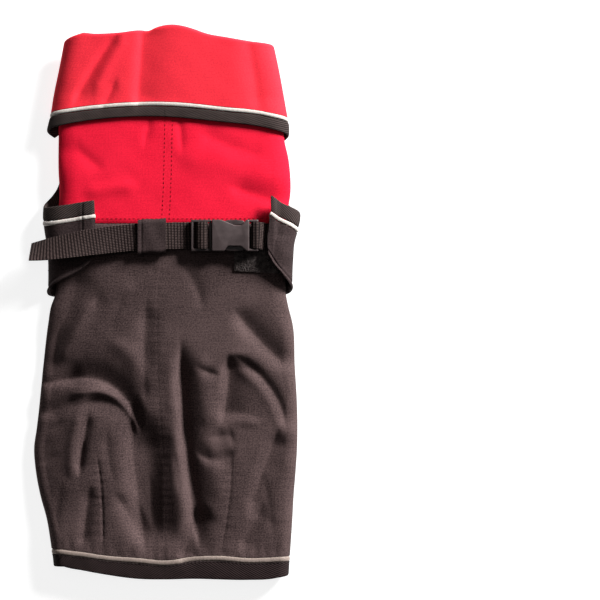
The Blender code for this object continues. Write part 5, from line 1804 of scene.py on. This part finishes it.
@dataclass
class Buckle:
    """The fastened side-release buckle: the strap side with its prongs, and the socket.

    Attributes:
        half: Half its width across the strap.
        plate_low: Height of the prongs' underside.
        plate: Thickness of the prongs.
        shell_low: Height of the socket's underside.
        shell: Thickness of the socket.
    """

    half: float = 11.3
    plate_low: float = 18.5
    plate: float = 3.6
    shell_low: float = 16.7
    shell: float = 7.6

    @staticmethod
    def plate_mesh(outline: Array, low: float, high: float, bevel: float) -> tuple[Array, list]:
        """Return the points and faces of a plate with rounded edges.

        The outline is drawn in towards its inside by a quarter circle at the bottom and the top.

        Args:
            outline: Corners of the plate, anticlockwise.
            low: Height of its underside.
            high: Height of its top.
            bevel: Radius of its edges.

        Returns:
            Points, and faces as lists of corner numbers.
        """
        before = unit(outline - np.roll(outline, 1, axis=0))
        after = unit(np.roll(outline, -1, axis=0) - outline)
        normal = np.stack([-(before + after)[:, 1], (before + after)[:, 0]], axis=-1)
        normal = unit(normal)
        facing = np.stack([-before[:, 1], before[:, 0]], axis=-1)
        miter = normal / np.maximum((normal * facing).sum(-1, keepdims=True), 0.4)
        turn = np.linspace(0, math.pi / 2, 5)
        inset = np.concatenate([bevel * (1 - np.sin(turn)), bevel * (1 - np.cos(turn))])
        height = np.concatenate([low + bevel * (1 - np.cos(turn)),
                                 high - bevel * (1 - np.sin(turn))])
        rings = outline[None] + miter[None] * inset[:, None, None]
        z = np.broadcast_to(height[:, None, None], rings.shape[:2] + (1,))
        points = np.concatenate([rings, z], axis=-1)
        count, length = points.shape[:2]
        faces = grid_faces(count, length, ring=True).tolist()
        faces.append(list(range(length))[::-1])
        faces.append(list(range((count - 1) * length, count * length)))
        return points.reshape(-1, 3), faces

    @staticmethod
    def rounded(corners: Sequence[tuple[float, float]], radius: float) -> Array:
        """Return an outline with each corner cut by a short curve of three points."""
        p = np.array(corners, float)
        back = np.roll(p, 1, axis=0) - p
        ahead = np.roll(p, -1, axis=0) - p
        cut = np.minimum(radius, 0.45 * np.minimum(np.linalg.norm(back, axis=1),
                                                   np.linalg.norm(ahead, axis=1)))[:, None]
        start = p + unit(back) * cut
        end = p + unit(ahead) * cut
        middle = (start + end) / 4 + p / 2
        return np.stack([start, middle, end], axis=1).reshape(-1, 2)

    @staticmethod
    def box(x0: float, x1: float, y0: float, y1: float) -> list[tuple[float, float]]:
        """Return a rectangle's corners, anticlockwise."""
        return [(x0, y0), (x1, y0), (x1, y1), (x0, y1)]

    def add(self, name: str, node: str, plates: Sequence[tuple], finish: Finish) -> None:
        """Add plates as one mesh; each is corners, low, high, corner radius and edge radius."""
        points = []
        faces = []
        base = 0
        for corners, low, high, radius, bevel in plates:
            outline = self.rounded(corners, radius) + (0.0, BELT_Y)
            part_points, part_faces = self.plate_mesh(outline, low, high, bevel)
            points.append(part_points)
            faces += [[base + i for i in face] for face in part_faces]
            base += len(part_points)
        made = MAKE.add(name, np.concatenate(points), faces, finish)
        crisp_edges(made)
        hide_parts(node)

    def build(self) -> None:
        """Build the two halves."""
        low = self.plate_low
        high = low + self.plate
        h = self.half
        male = [
            (self.box(18.7, 20.4, -h + 0.4, h - 0.4), low, high, 0.5, 0.45),
            (self.box(25.0, 29.2, -h + 0.6, h - 0.6), low + 0.3, high, 0.5, 0.5),
            (self.box(31.7, 33.4, -h + 0.4, h - 0.4), low, high, 0.3, 0.4),
            (self.box(18.7, 33.4, -h, -h + 1.9), low, high, 0.9, 0.5),
            (self.box(18.7, 33.4, h - 1.9, h), low, high, 0.9, 0.5),
            ([(33.0, -9.2), (42.6, -9.2), (44.4, -11.1), (50.0, -11.3), (56.0, -10.9),
              (57.6, -9.4), (57.6, -7.4), (50.0, -7.7), (33.0, -6.6)], low, high, 0.8, 0.5),
            ([(33.0, 6.6), (50.0, 7.7), (57.6, 7.4), (57.6, 9.4), (56.0, 10.9), (50.0, 11.3),
              (44.4, 11.1), (40.8, 9.2), (33.0, 9.2)], low, high, 0.8, 0.5),
        ]
        self.add("buckle_prongs", "buckle_male", male, PLASTIC_PAINTED_SHADE)
        bottom = self.shell_low
        top = bottom + self.shell
        body = [
            (33.6, -h), (42.6, -h), (45.2, -h + 3.6), (54.4, -h + 3.6), (58.8, -h),
            (60.6, -h), (60.6, h), (58.6, h), (55.0, h - 4.0), (50.4, h - 4.0),
            (40.6, h), (33.6, h),
        ]
        shell = [
            (body, bottom, top, 0.7, 0.8),
            (self.box(60.0, 67.1, -h, -h + 1.7), bottom + 0.4, top - 0.8, 0.9, 0.6),
            (self.box(60.0, 67.1, h - 1.7, h), bottom + 0.4, top - 0.8, 0.9, 0.6),
            (self.box(63.8, 67.1, -h + 0.6, h - 0.6), bottom + 2.3, top - 1.9, 0.5, 0.8),
        ]
        self.add("buckle_socket", "buckle_female", shell, PLASTIC)


@dataclass
class Patch:
    """The patch of loop pile sewn on the back beneath the buckle.

    Attributes:
        loops: Number of thread loops.
        seed: Start of their random places.
    """

    loops: int = 2600
    seed: int = 7

    def build(self) -> None:
        """Build the backing, then small thread loops standing on it."""
        over = np.linspace(PATCH_INNER, PATCH_OUTER, 80)
        low = self._low(over)
        y = low + np.linspace(0, 1, 60)[:, None] * (PATCH_HIGH - low)
        u = self._around(over, y)
        points = COAT.point(1.0, u, y, -GAP - PATCH)
        made = MAKE.sheet("patch_backing", points, u, y, PATCH, LOOPS_PAINTED_HIGHLIGHT)
        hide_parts("patch")
        pile = self._pile()
        declare(u, y)

    @staticmethod
    def _low(over: Array) -> Array:
        """Return y of the patch's lower edge."""
        return PATCH_LOW - PATCH_SLOPE * (PATCH_INNER - over)

    @staticmethod
    def _around(over: Array, y: Array) -> Array:
        """Return u of a place that lies a distance past the shoulder towards the middle."""
        cut = COAT.section(1.0, y)
        return cut.flat + cut.lower + cut.upper + over

    def _pile(self) -> bpy.types.Object:
        """Build the loops: half rings of thread in random places and directions."""
        rng = np.random.default_rng(self.seed)
        over = rng.uniform(PATCH_OUTER + 0.6, PATCH_INNER - 0.6, self.loops)
        low = self._low(over)
        y = low + 0.8 + rng.uniform(0, 1, self.loops) * (PATCH_HIGH - low - 1.2)
        u = self._around(over, y)
        root = COAT.point(1.0, u, y, -GAP - PATCH)
        up = unit(root - COAT.point(1.0, u, y, -GAP - PATCH + 1.0))
        spin = rng.uniform(0, 2 * math.pi, self.loops)
        flat = np.stack([np.cos(spin), np.sin(spin), 0 * spin], axis=-1)
        flat = unit(flat - up * (flat * up).sum(-1, keepdims=True))
        size = rng.uniform(0.34, 0.70, self.loops)[:, None, None, None]
        turn = np.linspace(-0.3, math.pi + 0.3, 7)
        around = np.linspace(0, 2 * math.pi, 4, endpoint=False)
        ring = 1.0 + 0.28 * np.cos(around)
        radial = ring[None, :] * np.cos(turn)[:, None]
        rise = ring[None, :] * np.sin(turn)[:, None]
        sidewise = np.broadcast_to(0.28 * np.sin(around)[None, :], rise.shape)
        third = np.cross(flat, up)
        points = root[:, None, None] + size * (
            flat[:, None, None] * radial[None, ..., None]
            + up[:, None, None] * rise[None, ..., None]
            + third[:, None, None] * sidewise[None, ..., None]
        )
        steps, sides = len(turn), len(around)
        caps = np.stack([np.arange(sides)[::-1], np.arange(sides) + (steps - 1) * sides])
        one = np.concatenate([grid_faces(steps, sides, ring=True), caps])
        faces = (one[None] + (np.arange(self.loops) * steps * sides)[:, None, None]).reshape(-1, 4)
        return MAKE.add("patch_loops", points, faces.tolist(), LOOPS_PAINTED_HIGHLIGHT)


@dataclass
class Label:
    """The bare rubber label with its raised rim, under the left belly flap.

    Attributes:
        low: Height of the face that looks down.
        corner: Radius of the plate's corners.
        bevel: Radius of its edges.
        rim_share: Size of the rim's line as a share of the plate.
        rim_corner: Radius of the rim's corners.
        rim_radius: Half the rim's thickness.
    """

    low: float = 0.25
    corner: float = 1.4
    bevel: float = 0.2
    rim_share: float = 0.93
    rim_corner: float = 1.6
    rim_radius: float = 0.35

    def build(self) -> None:
        """Build the plate and the rim as plates with rounded edges."""
        half_x = LABEL_WIDTH / 2
        half_y = LABEL_LENGTH / 2
        corners = Buckle.box(-half_x, half_x, -half_y, half_y)
        outline = Buckle.rounded(corners, self.corner) + (LABEL_X, LABEL_Y)
        points, faces = Buckle.plate_mesh(outline, self.low, LABEL, self.bevel)
        made = MAKE.add("label_plate", points, faces, RUBBER)
        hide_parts("label")
        turn = np.linspace(0, 2 * math.pi, 8, endpoint=False)[:, None]
        line = Buckle.rounded([(x * self.rim_share, y * self.rim_share) for x, y in corners],
                              self.rim_corner)
        line = np.concatenate([line, line[:1]])
        flat = np.stack([line[:, 0], line[:, 1], 0 * line[:, 0]], axis=-1)
        path = flat + (LABEL_X, LABEL_Y, self.rim_radius)
        ring = path[None] + self.rim_radius * (np.cos(turn)[..., None] * unit(flat)
                                               + np.sin(turn)[..., None] * (0.0, 0.0, 1.0))
        MAKE.bar("label_rim", ring, RUBBER)


@dataclass
class Studio:
    """Floor, lights and a camera that looks straight down.

    Attributes:
        pixel: Size of one of the photograph's pixels on the coat, in millimetres.
        middle_x: Photograph's column over X = 0.
        middle_y: Photograph's row over Y = 0.
        image: Width and height of the image in pixels.
        distance: Height of the camera above the coat, in metres.
        key: Place of the key light, in metres.
        key_size: Its width.
        key_power: Its power in watts.
        fill: Place of the fill light.
        fill_size: Its width.
        fill_power: Its power.
        world: Strength of the white surroundings.
        floor_reach: Half the floor's width, in metres.
        floor_tone: How much light the floor throws back.
        floor_glow: How much light it gives off.
    """

    pixel: float = 0.72
    middle_x: float = 165.25
    middle_y: float = 302.3
    image: float = 600.0
    distance: float = 2.4
    key: tuple[float, float, float] = (1.70, 1.58, 0.90)
    key_size: float = 0.75
    key_power: float = 194.0
    fill: tuple[float, float, float] = (0.3, 0.5, 1.9)
    fill_size: float = 1.4
    fill_power: float = 3.0
    world: float = 0.04
    floor_reach: float = 6.0
    floor_tone: float = 0.40
    floor_glow: float = 0.84

    def build(self) -> None:
        """Build the floor, the lights, the world and the camera."""
        bpy.context.scene.view_settings.view_transform = "Standard"
        self._floor()
        self._light("key", self.key, self.key_size, self.key_power)
        self._light("fill", self.fill, self.fill_size, self.fill_power)
        world = bpy.context.scene.world or bpy.data.worlds.new("studio")
        bpy.context.scene.world = world
        world.use_nodes = True
        background = world.node_tree.nodes["Background"]
        background.inputs["Color"].default_value = (1.0, 1.0, 1.0, 1.0)
        background.inputs["Strength"].default_value = self.world
        self._camera()

    def _floor(self) -> None:
        """Add the floor under the coat: a white table lit from within, as for cut-outs."""
        mesh = bpy.data.meshes.new("floor")
        box = Buckle.box(-self.floor_reach, self.floor_reach, -self.floor_reach, self.floor_reach)
        mesh.from_pydata([(x, y, FLOOR_Z) for x, y in box], [], [(0, 1, 2, 3)])
        floor = bpy.data.objects.new("floor", mesh)
        bpy.context.scene.collection.objects.link(floor)
        paint = bpy.data.materials.new("pale_floor")
        paint.use_nodes = True
        shader = paint.node_tree.nodes["Principled BSDF"]
        shader.inputs["Base Color"].default_value = (*[self.floor_tone] * 3, 1.0)
        shader.inputs["Roughness"].default_value = 0.9
        shader.inputs["Emission Color"].default_value = (1.0, 1.0, 1.0, 1.0)
        shader.inputs["Emission Strength"].default_value = self.floor_glow
        mesh.materials.append(paint)

    @staticmethod
    def _light(name: str, place: tuple[float, float, float], size: float, power: float) -> None:
        """Add a square area light that looks at the middle of the coat."""
        data = bpy.data.lights.new(name, "AREA")
        data.size = size
        data.energy = power
        lamp = bpy.data.objects.new(name, data)
        lamp.location = place
        x, y, z = place
        lamp.rotation_euler = (math.atan2(math.hypot(x, y), z), 0.0, math.atan2(x, -y))
        bpy.context.scene.collection.objects.link(lamp)

    def _camera(self) -> None:
        """Add the camera over the photograph's middle, level with its plane."""
        data = bpy.data.cameras.new("camera")
        height = (BACK_HEIGHT + 1.0) * MM
        span = self.image * self.pixel * MM
        data.sensor_width = 36.0
        data.lens = data.sensor_width * self.distance / span
        data.clip_start = 0.05
        camera = bpy.data.objects.new("camera", data)
        camera.location = (
            (self.image / 2 - self.middle_x) * self.pixel * MM,
            (self.middle_y - self.image / 2) * self.pixel * MM,
            height + self.distance,
        )
        bpy.context.scene.collection.objects.link(camera)
        bpy.context.scene.camera = camera


def main() -> None:
    """Build the coat's looks piece by piece, then the studio."""
    logging.basicConfig(level=logging.INFO, format="%(name)s %(message)s")
    Studio().build()
    ChestPanel().build()
    Body().build()
    Neck().build()
    Collar().build()
    Hem().build()
    FrontEdges().build()
    Lining().build()
    Strap("strap_left", "belt_left", BELT_LEFT, 1.0).build()
    Strap("strap_right", "belt_right", BELT_RIGHT, -1.0, 240).build()
    Keeper().build()
    Buckle().build()
    Patch().build()
    Label().build()
    BLACK_STITCHES.build("black_stitches", THREAD)
    RED_STITCHES.build("red_stitches", RED_THREAD_PAINTED_SHADE)


if __name__ == "__main__":
    main()
